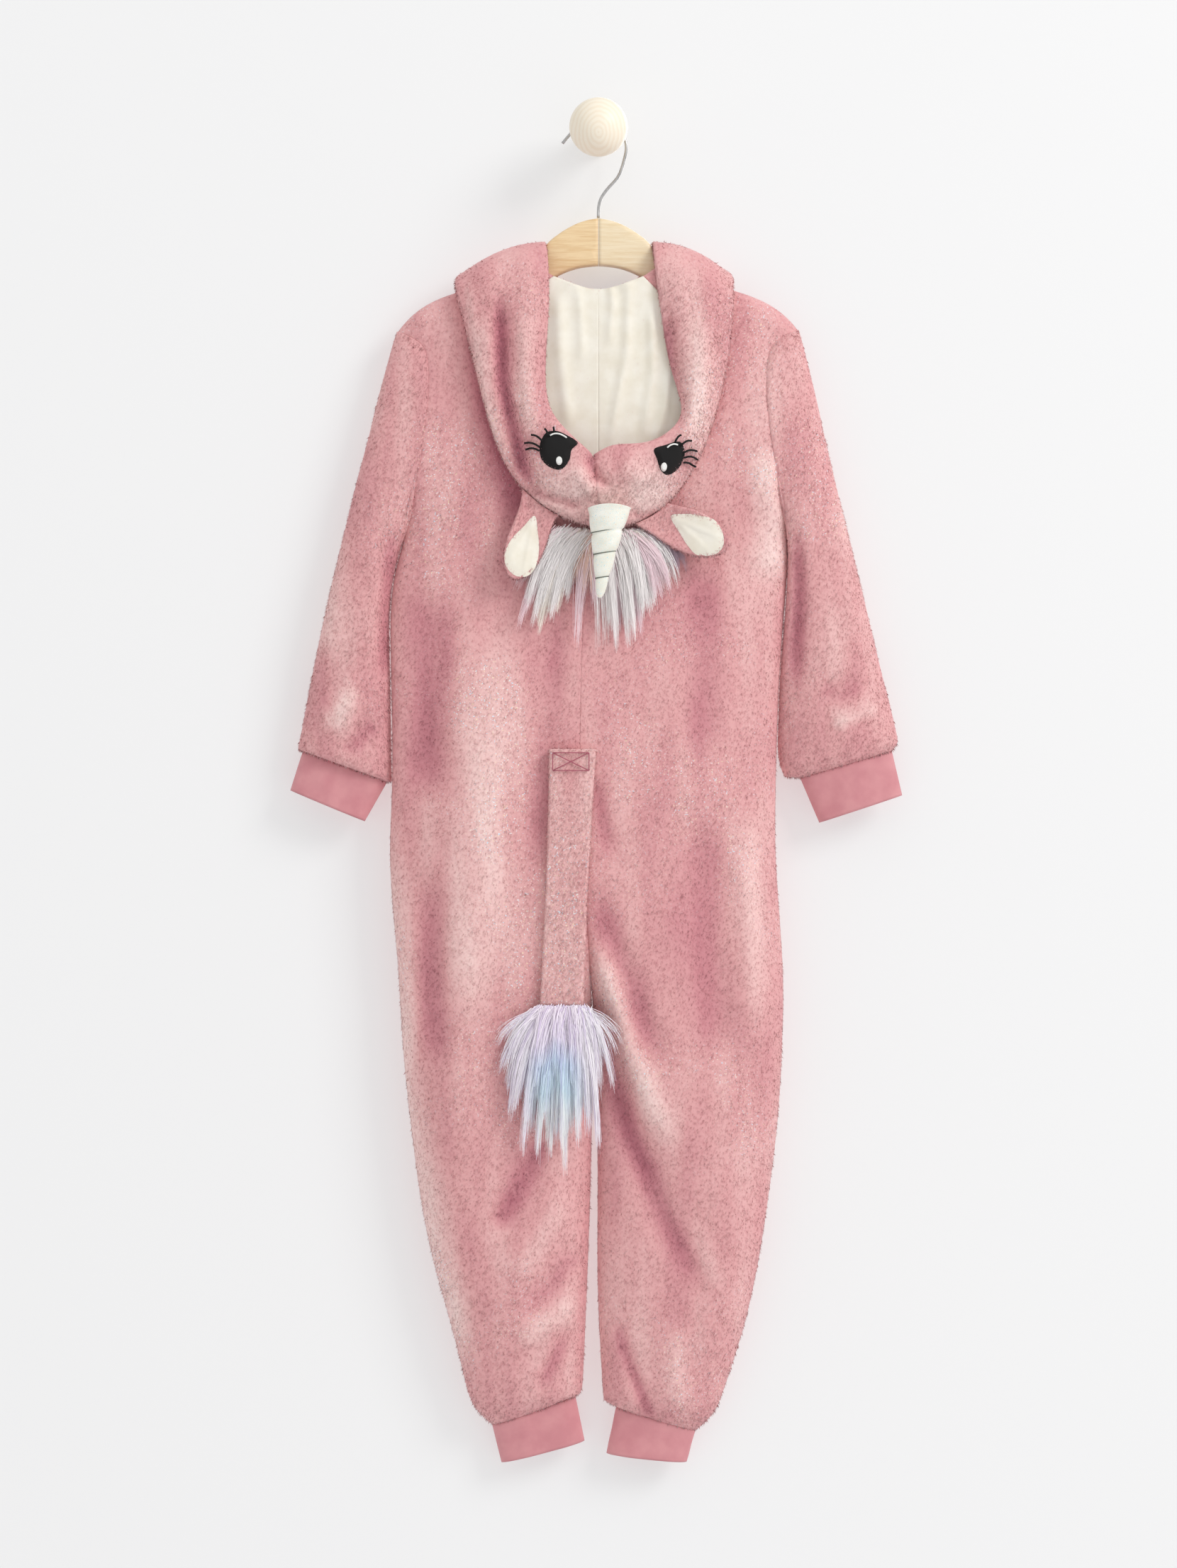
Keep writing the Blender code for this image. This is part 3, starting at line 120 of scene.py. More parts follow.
HOOD_FOLDS = (
    # The first two are no folds: painted highlights along the brim and down the right side.
    (((-76, -280), (-40, -312), (0, -318), (44, -312), (80, -276)), 22, 0.0, 0.5),
    (((66, -90), (78, -160), (84, -230), (84, -290)), 16, 0.0, 0.35),
    (((-112, -110), (-106, -170), (-98, -230), (-84, -290)), 5, 2.5, 0.3),
    (((-84, -130), (-81, -215), (-65, -284), (-46, -318)), 6, -6.5, -0.85),
    (((-100, -150), (-94, -230), (-76, -300)), 8, 2.5, 0.35),
    (((-64, -150), (-62, -230), (-54, -270)), 8, 2.5, 0.4),
    (((58, -150), (60, -200), (68, -262)), 7, -3.5, -0.5),
    (((84, -150), (84, -230), (74, -290)), 9, 2.5, 0.3),
    (((-62, -304), (-39, -314), (-10, -322)), 4, -4.0, -0.45),
    (((24, -325), (38, -328), (54, -325)), 4, -3.0, -0.35),
    (((-18, -286), (-14, -300), (-7, -314)), 8, 4.0, 0.3),
    (((-5, -274), (-7, -286), (-1, -298), (12, -305)), 4, -4.0, -0.35),
    (((16, -286), (30, -292), (40, -306)), 11, 3.5, 0.2),
)
LINING_FOLDS = (
    (((26, -120), (24, -190), (8, -272)), 4, 2.6, 0.0),
    (((-34, -130), (-32, -190), (-24, -262)), 5, 2.4, 0.0),
    (((-18, -126), (-15, -160), (-14, -200)), 4, 1.8, 0.0),
    (((44, -140), (46, -205), (36, -272)), 3, 3.0, 0.0),
    (((60, -196), (56, -236), (46, -270)), 2.6, 3.0, 0.0),
    (((10, -124), (12, -150), (8, -185)), 4, 2.0, 0.0),
)
TAIL_FOLDS = ((((-24, -400), (-36, -860)), 60, 0.0, 0.2),)

# The share of a fold's length over which it fades at each end, and the small ripples' height and length.
FOLD_END = 0.22
RIPPLE = (1.0, 26.0)

# How far each wall is moved outwards, so that no gap shows at its seams, and a sleeve's at the body's side.
SEAM_CLOSE = 0.35
SLEEVE_CLOSE = 1.25

# The ears: the fleece leaf is padded out beyond its solid. The cream leaf has an outline of its own, which
# starts at its narrow root and reaches the fleece leaf's far edge. Its creases fan out from the root.
EAR_OUTER_SHARE = 1.06
EAR_LINING_LIFT = 1.6
EAR_CREASES = (-0.22, 0.12)
CREASE_HEIGHT = 1.3
CREASE_WIDTH = 2.2
EAR_LININGS = {
    "left": (
        (-53.8, -328), (-63, -337), (-73, -348), (-78.5, -360), (-77.5, -371), (-70, -379), (-60, -379.5),
        (-53, -372), (-50, -358), (-51, -342),
    ),
    "right": (
        (61, -328.5), (72, -326.5), (84, -328), (97, -332), (104, -343), (104.5, -354), (98, -361),
        (84, -362), (76, -355), (68, -342),
    ),
}

# The eyes, embroidered on the hood: the black outline, the white spot's middle and half sizes, the three
# points of the white arc, and the lashes. Below them are the lifts from the cloth and the threads' radii.
EYES = {
    "left": {
        "outline": (
            (-49.3, -271), (-46.9, -263.6), (-42.9, -259), (-35, -258), (-26, -261.6), (-17.4, -267.6),
            (-22.6, -274), (-24.6, -283), (-31.4, -290.3), (-41, -288.3), (-48, -281),
        ),
        "shine": (-33, -283.1, 3.4, 4.4),
        "arc": ((-40.5, -262.2), (-34, -260.6), (-26.6, -264)),
        "lashes": (
            ((-49, -272), (-62, -268)), ((-49.5, -275), (-61, -273.5)), ((-47, -267), (-56.5, -261.5)),
            ((-42, -262.5), (-45.5, -256.5)), ((-37, -260.8), (-38, -254.8)),
        ),
    },
    "right": {
        "outline": (
            (46.6, -273.4), (55.6, -269.8), (67.6, -266.8), (72, -273), (71.5, -280.5), (67, -289),
            (58.6, -294.5), (52.4, -291.2), (49, -282),
        ),
        "shine": (55, -288, 3.1, 4.2),
        "arc": ((57.5, -272.4), (61.8, -269.6), (66.4, -270)),
        "lashes": (
            ((71.5, -276), (83, -274)), ((72, -280), (83.5, -280.5)), ((71.5, -284), (81.5, -287.5)),
            ((69, -270.5), (78, -266)), ((64, -267.6), (69.5, -261.5)),
        ),
    },
}
EYE_LIFT, SHINE_LIFT, ARC_LIFT, LASH_LIFT = 3.6, 4.6, 4.4, 3.4
ARC_RADIUS = 0.675
LASH_RADIUS = 0.85

# The heights of the horn's rings, how much they slant, and their thread's radius.
HORN_RINGS = (-342.0, -360.6, -381.0)
HORN_SLANT = 0.16
RING_RADIUS = 0.55

# The horn's shape: how wide a ring draws it in and by what share, how far it bulges between the rings and
# how far apart they are, the share of its length from which its tip is round, and how its rim is bent.
RING_WIDTH = 1.5
RING_DEPTH = 0.075
HORN_BULGE = 0.7
RING_STEP = 19.5
HORN_TIP = 0.93
HORN_TIP_LENGTH = 0.075
RIM_ARCH = 3.0
RIM_DROP = 6.5

# The box of stitches at the tail's top: its left, right, top and bottom.
BOX_STITCH = (-38.5, -8.0, -527.5, -542.5)
STITCH_LIFT = 1.9
STITCH_RADIUS = 0.4

# The zip: how far apart its teeth are, how large they are and how far they stand to the left and right by
# turns, and the tab over its lower end.
TOOTH_PITCH = 2.4
TOOTH_SIZE = (3.4, 1.4, 1.3)
TOOTH_SHIFT = 0.9
ZIP_END_OUTLINE = ((-24, -553), (-16, -551), (-8, -553), (-9, -574), (-16, -606), (-23, -574))
ZIP_END_THICKNESS = 0.9

# Locks of the mane and the tuft: root x, tip x and z, how far the lock reaches toward the viewer, how full
# it is, and in the mane its colour.
MANE_LOCKS = (
    (-32, -66, -382, 3, 0.5, "pink"), (-28, -64, -398, 5, 1.0, "white"), (-24, -61, -409, 3, 0.8, "pink"),
    (-20, -56, -412, 6, 1.0, "white"), (-15, -47, -411, 4, 1.0, "cream"), (-11, -38, -402, 6, 1.0, "white"),
    (-9, -29, -397, 3, 0.9, "white"), (-7, -21, -386, 1, 0.9, "peach"), (-5, -13, -384, 1, 0.9, "peach"),
    (-9, -22, -436, 4, 0.2, "pink"), (-6, -9, -441, 4, 0.25, "pink"), (-1, 4, -442, 3, 0.25, "white"),
    (3, -2, -404, 2, 0.7, "pink"), (5, 13, -433, 4, 0.6, "white"),
    (11, 21, -439, 2, 0.7, "pink"), (15, 29, -430, 5, 0.9, "white"), (19, 33, -428, 3, 0.9, "pink"),
    (22, 40, -415, 6, 1.0, "white"), (24, 46, -402, 3, 0.9, "white"), (27, 53, -395, 5, 0.9, "pink"),
    (31, 58, -384, 3, 0.7, "cream"), (35, 64, -378, 4, 0.6, "white"), (40, 68, -374, 1, 0.8, "shade"),
    (45, 68, -370, 1, 0.8, "shade"), (50, 70, -366, 1, 0.6, "shade"), (8, 12, -392, 0, 1.0, "pink"),
)
MANE_ROOT_Z = (-338.0, -344.0)
TUFT_LOCKS = (
    (-46, -84, -772, 2, 0.4), (-47, -85, -800, 3, 0.8), (-46, -80, -818, 2, 0.9), (-43, -74, -832, 5, 1.0),
    (-40, -66, -840, 7, 1.0), (-37, -59, -846, 4, 1.0), (-34, -50, -850, 7, 1.0), (-31, -42, -857, 5, 1.0),
    (-28, -34, -852, 8, 1.0), (-25, -26, -859, 4, 1.0), (-22, -17, -852, 6, 1.0), (-19, -10, -842, 4, 1.0),
    (-16, -2, -842, 6, 0.9), (-14, 3, -824, 3, 0.8), (-13, 6, -800, 5, 0.6), (-33, -38, -800, 9, 1.0),
    (-22, -20, -806, 9, 1.0), (-42, -56, -806, 9, 1.0), (-14, 24, -764, 1, 0.12), (-13, 20, -786, 1, 0.12),
)
TUFT_ROOT_Z = -743.0
TUFT_MIDDLE_X = -36.0

# Long fur: how many wisps a full lock has, how many strands a wisp has and how wide they are, how far the
# wisps' tips scatter, how far the strands' roots and tips scatter, and the colours of the locks.
WISPS = 6
STRAND_STEPS = 6
MANE_FUR = {
    "strands": 95, "width": 0.7,
    "wisp_spread": (4.6, 1.5, 6.0), "spreads": ((4.2, 1.6, 1.8), (1.3, 1.3, 3.5)),
}
TUFT_FUR = {
    "strands": 90, "width": 0.8,
    "wisp_spread": (3.6, 2.0, 6.0), "spreads": ((3.2, 1.4, 1.4), (1.3, 1.4, 4.0)),
}
LOCK_COLOURS = {
    "white": (255, 250, 249),
    "cream": (255, 246, 236),
    "pink": (254, 230, 236),
    "peach": (250, 214, 200),
    "shade": (200, 176, 190),
}

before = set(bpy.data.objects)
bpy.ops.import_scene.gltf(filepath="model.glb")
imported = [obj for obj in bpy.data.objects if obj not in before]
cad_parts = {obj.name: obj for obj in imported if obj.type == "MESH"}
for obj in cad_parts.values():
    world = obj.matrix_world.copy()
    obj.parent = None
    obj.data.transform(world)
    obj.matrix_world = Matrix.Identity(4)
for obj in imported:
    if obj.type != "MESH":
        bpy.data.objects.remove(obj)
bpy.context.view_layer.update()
rng = np.random.default_rng(SEED)


def unit(vectors):
    """The vectors at length 1."""
    lengths = np.linalg.norm(vectors, axis=-1, keepdims=True)
    return vectors / np.maximum(lengths, 1e-9)


def linear(red, green, blue):
    """A shader colour from a display colour of 0 to 255."""
    values = np.array((red, green, blue)) / 255
    values = np.where(values <= 0.04045, values / 12.92, ((values + 0.055) / 1.055) ** 2.4)
    return (*(float(value) for value in values), 1.0)


def grey(value):
    return (value, value, value, 1)


def darker(colour, share):
    """A shader colour at a share of its lightness."""
    return tuple(value * share for value in colour[:3]) + (1.0,)


BLACK = grey(0)
WHITE = grey(1)


# Materials.


class Shader:
    """A Principled material, with short ways to add the nodes of its colours and bumps."""

    def __init__(self, name, roughness=0.8, metallic=0.0, sheen=0.0, sheen_tint=None):
        self.material = bpy.data.materials.new(name)
        self.material.use_nodes = True
        self.tree = self.material.node_tree
        self.principled = self.tree.nodes["Principled BSDF"]
        self.principled.inputs["Roughness"].default_value = roughness
        self.principled.inputs["Metallic"].default_value = metallic
        if sheen:
            self.principled.inputs["Sheen Weight"].default_value = sheen
            self.principled.inputs["Sheen Roughness"].default_value = 0.4
        if sheen_tint:
            self.principled.inputs["Sheen Tint"].default_value = sheen_tint
        self.place = self.tree.nodes.new("ShaderNodeTexCoord").outputs["Object"]

    def link(self, source, target):
        self.tree.links.new(source, target)

    def scaled(self, scale, location=(0, 0, 0)):
        """The place on the object, stretched by a scale along each axis."""
        mapping = self.tree.nodes.new("ShaderNodeMapping")
        mapping.inputs["Scale"].default_value = scale
        mapping.inputs["Location"].default_value = location
        self.link(self.place, mapping.inputs["Vector"])
        return mapping.outputs["Vector"]

    def noise(self, scale, detail=2.0, place=None, roughness=0.5, distortion=0.0):
        """Noise from 0 to 1. The scale is in waves to the metre."""
        node = self.tree.nodes.new("ShaderNodeTexNoise")
        node.inputs["Scale"].default_value = scale
        node.inputs["Detail"].default_value = detail
        node.inputs["Roughness"].default_value = roughness
        node.inputs["Distortion"].default_value = distortion
        self.link(place or self.place, node.inputs["Vector"])
        return node.outputs["Fac"]

    def attribute(self, name):
        """The value that the mesh keeps on its points under a name."""
        node = self.tree.nodes.new("ShaderNodeAttribute")
        node.attribute_name = name
        return node.outputs["Fac"]

    def ramp(self, factor, *stops):
        """A colour ramp. Each stop is a place and a colour."""
        node = self.tree.nodes.new("ShaderNodeValToRGB")
        elements = node.color_ramp.elements
        while len(elements) < len(stops):
            elements.new(0.5)
        for element, (place, colour) in zip(elements, stops):
            element.position = place
            element.color = colour
        self.link(factor, node.inputs["Fac"])
        return node.outputs["Color"]

    def mix(self, factor, first, second, blend_type="MIX"):
        """A mix of two colours, each an output or a constant."""
        node = self.tree.nodes.new("ShaderNodeMix")
        node.data_type = "RGBA"
        node.blend_type = blend_type
        for socket, value in ((node.inputs[0], factor), (node.inputs[6], first), (node.inputs[7], second)):
            if isinstance(value, bpy.types.NodeSocket):
                self.link(value, socket)
            else:
                socket.default_value = value
        return node.outputs[2]

    def colour(self, output):
        self.link(output, self.principled.inputs["Base Color"])
        return self

    def rough(self, output):
        self.link(output, self.principled.inputs["Roughness"])
        return self

    def bump(self, height, distance, strength=1.0):
        node = self.tree.nodes.new("ShaderNodeBump")
        node.inputs["Strength"].default_value = strength
        node.inputs["Distance"].default_value = distance * MM
        self.link(height, node.inputs["Height"])
        self.link(node.outputs["Normal"], self.principled.inputs["Normal"])
        return self


def fleece_material():
    """Dusty pink plush: nap lighter and darker, with painted shade and highlight from the folds, clumps of it,
    and glitter specks as painted glints where it is painted lit.
    """
    made = Shader("fleece", 0.85, sheen=0.35, sheen_tint=linear(255, 226, 224))
    nap = made.attribute("nap")
    base = made.ramp(
        nap,
        (0.0, linear(184, 110, 122)),
        (0.28, linear(212, 144, 150)),
        (0.5, linear(229, 170, 170)),
        (0.75, linear(243, 200, 196)),
        (1.0, linear(252, 224, 218)),
    )
    clumps = made.noise(330, 3, made.scaled((1.2, 1.2, 0.9)))
    shade = made.ramp(clumps, (0.34, linear(244, 236, 238)), (0.54, WHITE))
    base = made.mix(1.0, base, shade, "MULTIPLY")
    # Painted glints: the glitter specks show only in random patches that stand for lit places and where the
    # nap is painted light.
    specks = made.ramp(made.noise(760, 0), (0.69, BLACK), (0.72, WHITE))
    lit = made.ramp(made.noise(11, 1), (0.46, grey(0.06)), (0.64, WHITE))
    lit_nap = made.ramp(nap, (0.3, grey(0.15)), (0.72, WHITE))
    specks = made.mix(1.0, specks, lit, "MULTIPLY")
    specks = made.mix(1.0, specks, lit_nap, "MULTIPLY")
    glitter = made.ramp(
        made.noise(700, 0),
        (0.35, linear(255, 232, 190)),
        (0.5, linear(255, 246, 250)),
        (0.65, linear(206, 240, 255)),
    )
    made.colour(made.mix(specks, base, glitter))
    return made.bump(made.noise(520, 3), 0.5, 0.4).material


def jersey_material(name, dark, light, scale=900):
    """Fine knitted jersey: narrow wales, and soft shade in its gathers."""
    made = Shader(name, 0.8, sheen=0.25)
    soft = made.noise(60, 3)
    made.colour(made.ramp(soft, (0.35, dark), (0.65, light)))
    wave = made.tree.nodes.new("ShaderNodeTexWave")
    wave.bands_direction = "X"
    wave.inputs["Scale"].default_value = scale
    wave.inputs["Distortion"].default_value = 2.0
    wave.inputs["Detail"].default_value = 2.0
    made.link(made.place, wave.inputs["Vector"])
    return made.bump(wave.outputs["Fac"], 0.12, 0.6).material


def wood_material(name, light, dark, stretch, rings=None):
    """Pale varnished wood, with fine grain along its length or in rings round a place."""
    made = Shader(name, 0.42)
    if rings:
        scale = np.array((1.0, 0.25, 0.75))
        place = made.scaled(scale, -np.array(rings) * scale)
        wave = made.tree.nodes.new("ShaderNodeTexWave")
        wave.wave_type = "RINGS"
        wave.rings_direction = "SPHERICAL"
        wave.inputs["Scale"].default_value = 95
        wave.inputs["Distortion"].default_value = 2.2
        wave.inputs["Detail"].default_value = 3
        wave.inputs["Detail Scale"].default_value = 1.5
        made.link(place, wave.inputs["Vector"])
        grain = wave.outputs["Fac"]
    else:
        grain = made.noise(60, 6, made.scaled(stretch), roughness=0.65, distortion=0.4)
    fine = made.noise(300, 4, made.scaled(stretch))
    base = made.ramp(grain, (0.25, dark), (0.6, light))
    base = made.mix(made.ramp(fine, (0.45, BLACK), (0.8, grey(0.3))), base, dark)
    made.colour(base)
    made.rough(made.ramp(fine, (0.3, grey(0.36)), (0.7, grey(0.5))))
    return made.bump(fine, 0.08, 0.35).material


def horn_material():
    """Cream cloth covered with fine glitter."""
    made = Shader("horn_cloth", 0.5, sheen=0.2)
    base = made.ramp(made.noise(90, 3), (0.35, linear(236, 236, 222)), (0.65, linear(250, 250, 240)))
    specks = made.ramp(made.noise(1300, 1), (0.6, BLACK), (0.66, WHITE))
    hues = made.ramp(
        made.noise(900, 0),
        (0.4, linear(196, 232, 238)),
        (0.5, linear(255, 255, 250)),
        (0.6, linear(250, 226, 196)),
    )
    made.colour(made.mix(specks, base, hues))
    made.rough(made.ramp(made.noise(1300, 1), (0.55, grey(0.6)), (0.66, grey(0.15))))
    return made.bump(made.noise(1100, 2), 0.25, 0.6).material


def fur_material(name, colour):
    """Long soft fur of one colour, some strands a little darker."""
    made = Shader(name, 0.6, sheen=0.3)
    made.colour(made.ramp(made.attribute("tone"), (0.0, darker(colour, 0.84)), (0.4, colour)))
    return made.material


def tuft_material():
    """Fur that turns from lavender pink at its roots to pale blue and then white at its tips."""
    made = Shader("tail_fur", 0.6, sheen=0.3)
    split = made.tree.nodes.new("ShaderNodeSeparateXYZ")
    made.link(made.place, split.inputs[0])
    height = made.tree.nodes.new("ShaderNodeMapRange")
    height.inputs["From Min"].default_value = -0.735
    height.inputs["From Max"].default_value = -0.86
    made.link(split.outputs["Z"], height.inputs["Value"])
    wander = made.noise(30, 3, made.scaled((1.6, 1, 0.3)))
    mixed = made.mix(0.2, height.outputs["Result"], wander)
    base = made.ramp(
        mixed,
        (0.1, linear(255, 242, 253)),
        (0.34, linear(250, 242, 255)),
        (0.46, linear(222, 238, 255)),
        (0.58, linear(226, 246, 255)),
        (0.7, linear(250, 254, 255)),
        (0.9, linear(255, 255, 253)),
    )
    away = made.tree.nodes.new("ShaderNodeMath")
    away.operation = "SUBTRACT"
    made.link(split.outputs["X"], away.inputs[0])
    away.inputs[1].default_value = TUFT_MIDDLE_X * MM
    apart = made.tree.nodes.new("ShaderNodeMath")
    apart.operation = "ABSOLUTE"
    made.link(away.outputs[0], apart.inputs[0])
    sides = made.ramp(apart.outputs[0], (0.012, BLACK), (0.028, WHITE))
    base = made.mix(sides, base, linear(255, 250, 255))
    strand = made.ramp(made.attribute("tone"), (0.0, linear(224, 214, 236)), (0.4, WHITE))
    made.colour(made.mix(1.0, base, strand, "MULTIPLY"))
    return made.material


def plain_material(name, colour, roughness, metallic=0.0, scale=700, depth=0.1):
    """A small part's finish, with fine variation in its colour and surface."""
    made = Shader(name, roughness, metallic)
    made.colour(made.ramp(made.noise(scale, 3), (0.3, darker(colour, 0.82)), (0.65, colour)))
    return made.bump(made.noise(scale * 1.4, 2), depth, 0.4).material


def brushed_material(name, colour):
    """Plated steel with fine marks along the wire."""
    made = Shader(name, 0.28, 1.0)
    marks = made.noise(900, 3, made.scaled((1, 1, 0.2)))
    made.colour(made.ramp(marks, (0.3, darker(colour, 0.8)), (0.7, colour)))
    made.rough(made.ramp(marks, (0.3, grey(0.22)), (0.7, grey(0.4))))
    return made.bump(marks, 0.03, 0.3).material


FLEECE = fleece_material()
MATERIALS = {
    "fleece": FLEECE,
    "cuff_jersey": jersey_material("cuff_jersey", linear(212, 140, 146), linear(222, 153, 157)),
    "lining_jersey": jersey_material("lining_jersey", linear(242, 235, 218), linear(250, 245, 232), 700),
    "horn_cloth": horn_material(),
    "zip_tape": plain_material("zip_tape", linear(196, 118, 132), 0.8, scale=1500),
    "zip_coil": plain_material("zip_coil", linear(206, 132, 144), 0.45),
    "zip_metal": brushed_material("zip_metal", (0.66, 0.65, 0.64, 1)),
    "wire": brushed_material("wire", (0.58, 0.57, 0.56, 1)),
    "wood_warm": wood_material("wood_warm", linear(243, 216, 172), linear(222, 184, 132), (0.5, 3, 7)),
    "wood_pale": wood_material("wood_pale", linear(245, 228, 196), linear(230, 204, 160), (0.5, 3, 7)),
    "knob_wood": wood_material(
        "knob_wood", linear(251, 241, 222), linear(247, 234, 212), (2, 2, 2), rings=(0.0, -0.081, -0.009)
    ),
    "tail_fur": tuft_material(),
}
THREAD_BLACK = plain_material("thread_black", linear(14, 12, 12), 0.9, scale=1200, depth=0.3)
THREAD_WHITE = plain_material("thread_white", linear(246, 246, 242), 0.6, scale=1200, depth=0.2)
THREAD_PINK = plain_material("thread_pink", linear(178, 92, 110), 0.7, scale=1200, depth=0.2)
THREAD_GREY = plain_material("thread_grey", linear(122, 126, 116), 0.7, scale=1200, depth=0.2)


# Meshes.


def placed(name, data):
    """A new object in the scene."""
    made = bpy.data.objects.new(name, data)
    bpy.context.scene.collection.objects.link(made)
    return made


def new_mesh(name, points, faces):
    """A mesh from points in millimetres."""
    mesh = bpy.data.meshes.new(name)
    mesh.from_pydata((np.array(points) * MM).tolist(), [], faces)
    return mesh


def ring_faces(first, rows, columns, closed=False):
    """The faces between rows of points that each close on themselves, from a first point on."""
    faces = []
    for row in range(rows if closed else rows - 1):
        start, after = first + row * columns, first + (row + 1) % rows * columns
        for place in range(columns):
            beside = (place + 1) % columns
            faces.append((start + place, start + beside, after + beside, after + place))
    return faces


def tidy_normals(mesh):
    """Points all faces of a closed mesh outwards."""
    body = bmesh.new()
    body.from_mesh(mesh)
    bmesh.ops.recalc_face_normals(body, faces=body.faces)
    body.to_mesh(mesh)
    body.free()
    mesh.shade_smooth()


def add_piece(name, mesh, materials, replaces=()):
    """Puts a mesh into the scene as a piece that rides on the garment."""
    for material in materials:
        mesh.materials.append(material)
    piece = placed(name, mesh)
    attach(piece, "garment")
    if replaces:
        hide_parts(*replaces)
    return piece


def sides_of_wall(body):
    """Splits a wall's faces at its sharp edges. Returns groups of faces, the largest first."""
    seen = set()
    groups = []
    for start in body.faces:
        if start in seen:
            continue
        seen.add(start)
        group = [start]
        for face in group:
            for edge in face.edges:
                if edge.calc_face_angle(0) > SHARP_ANGLE:
                    continue
                for other in edge.link_faces:
                    if other not in seen:
                        seen.add(other)
                        group.append(other)
        groups.append(group)
    groups.sort(key=lambda faces: -sum(face.calc_area() for face in faces))
    return groups


def refined(node, levels):
    """A smooth, fine copy of a node's mesh. Its faces' material index says which side they are on."""
    body = bmesh.new()
    body.from_mesh(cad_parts[node].data)
    bmesh.ops.remove_doubles(body, verts=body.verts, dist=1e-6)
    sides = sides_of_wall(body)[:2]
    if node.startswith(("back", "front")) and len(sides) > 1:
        depths = [np.mean([face.calc_center_median().y for face in side]) for side in sides]
        if (depths[0] > depths[1]) == node.startswith("back"):
            sides.reverse()
    for face in body.faces:
        face.material_index = EDGE
    for index, side in zip((OUTER, INNER), sides):
        for face in side:
            face.material_index = index
    crease = body.edges.layers.float.new("crease_edge")
    for edge in body.edges:
        if edge.calc_face_angle(0) > SHARP_ANGLE:
            edge[crease] = 1.0
    bmesh.ops.join_triangles(
        body,
        faces=body.faces,
        cmp_materials=True,
        angle_face_threshold=SHARP_ANGLE,
        angle_shape_threshold=math.pi,
    )
    mesh = bpy.data.meshes.new(node)
    body.to_mesh(mesh)
    body.free()
    helper = placed("helper", mesh)
    modifier = helper.modifiers.new("Subdivide", "SUBSURF")
    modifier.levels = levels
    modifier.render_levels = levels
    evaluated = helper.evaluated_get(bpy.context.evaluated_depsgraph_get())
    fine = bpy.data.meshes.new_from_object(evaluated)
    bpy.data.objects.remove(helper)
    bpy.data.meshes.remove(mesh)
    fine.materials.clear()
    fine.shade_smooth()
    return fine


def read_points(mesh):
    """A mesh's points, in millimetres."""
    points = np.zeros(len(mesh.vertices) * 3)
    mesh.vertices.foreach_get("co", points)
    return points.reshape(-1, 3) / MM


def write_points(mesh, points):
    mesh.vertices.foreach_set("co", (points * MM).ravel())
    mesh.update()


def noise_at(points, size, offset=0.0):
    """Smooth noise from about -1 to 1 at each point, with lumps of a size in millimetres."""
    shift = Vector((offset, offset, offset))
    return np.array([noise.noise(Vector(point) / size + shift) for point in points])


def near_line(x, z, line, half_width):
    """How near each place is to a line: 1 on it, and 0 at its ends and well away from it."""
    line = np.array(line, dtype=float)
    steps = np.diff(line, axis=0)
    lengths = np.linalg.norm(steps, axis=1)
    nearest = np.full(len(x), np.inf)
    along = np.zeros(len(x))
    done = 0.0
    for start, step, length in zip(line, steps, lengths):
        share = np.clip(((x - start[0]) * step[0] + (z - start[1]) * step[1]) / length ** 2, 0, 1)
        gap = np.hypot(x - start[0] - share * step[0], z - start[1] - share * step[1])
        closer = gap < nearest
        nearest[closer] = gap[closer]
        along[closer] = (done + share * length)[closer]
        done += length
    fade = np.clip(np.minimum(along, done - along) / (FOLD_END * done), 0, 1)
    return np.exp(-((nearest / half_width) ** 2)) * fade * fade * (3 - 2 * fade)


def fold_values(x, z, folds):
    """The height of the folds at each place, and their painted shade and highlight on the nap there."""
    height, shade = np.zeros(len(x)), np.zeros(len(x))
    for line, half_width, size, light in folds:
        near = near_line(x, z, line, half_width)
        height += size * near
        shade += light * near
    return height, shade


def crumple(mesh, amount=1.0, folds=(), fold_depth=-20):
    """Moves a garment piece's points toward or from the viewer, the same for its two sides."""
    points = read_points(mesh)
    flat = points * np.array((1, 0, 1))
    size, length = RIPPLE
    ripple = size * noise_at(flat, length) + 0.5 * size * noise_at(flat, length / 2.3, 5.0)
    behind = np.clip((fold_depth - points[:, 1]) / 10, 0, 1)
    height, _ = fold_values(points[:, 0], points[:, 2], folds)
    points[:, 1] -= ripple * amount + height * behind
    write_points(mesh, points)


def nap_with_fold_shade(points, folds):
    """How light the nap is at each place, from 0 to 1: the folds' painted shade and highlight, streaks and
    patches.
    """
    _, shade = fold_values(points[:, 0], points[:, 2], folds)
    light = NAP_MIDDLE + PAINTED_FOLD_SHADE * shade
    for share, size, offset in NAP_NOISES:
        light = light + share * noise_at(points / np.array(size), 1.0, offset)
    return np.clip(light, 0, 1)


def set_nap(mesh, values):
    """Keeps the nap's lightness, with the folds' painted shade and highlight, on a mesh's points, for its
    material.
    """
    mesh.attributes.new("nap", "FLOAT", "POINT").data.foreach_set("value", values.astype(np.float32))


# The pile of the fleece.


def corners_and_normals(mesh, wanted):
    """Corner points and corner normals of the triangles that a test on index and normal lets through."""
    mesh.calc_loop_triangles()
    count = len(mesh.loop_triangles)
    corners = np.zeros(count * 3, dtype=np.int32)
    mesh.loop_triangles.foreach_get("vertices", corners)
    corners = corners.reshape(-1, 3)
    faces = np.zeros(count, dtype=np.int32)
    mesh.loop_triangles.foreach_get("polygon_index", faces)
    indices = np.zeros(len(mesh.polygons), dtype=np.int32)
    mesh.polygons.foreach_get("material_index", indices)
    points = read_points(mesh)
    normals = np.zeros(len(mesh.vertices) * 3)
    mesh.vertices.foreach_get("normal", normals)
    normals = normals.reshape(-1, 3)
    keep = wanted(indices[faces], normals[corners].mean(axis=1))
    corners = corners[keep]
    return points[corners], normals[corners]


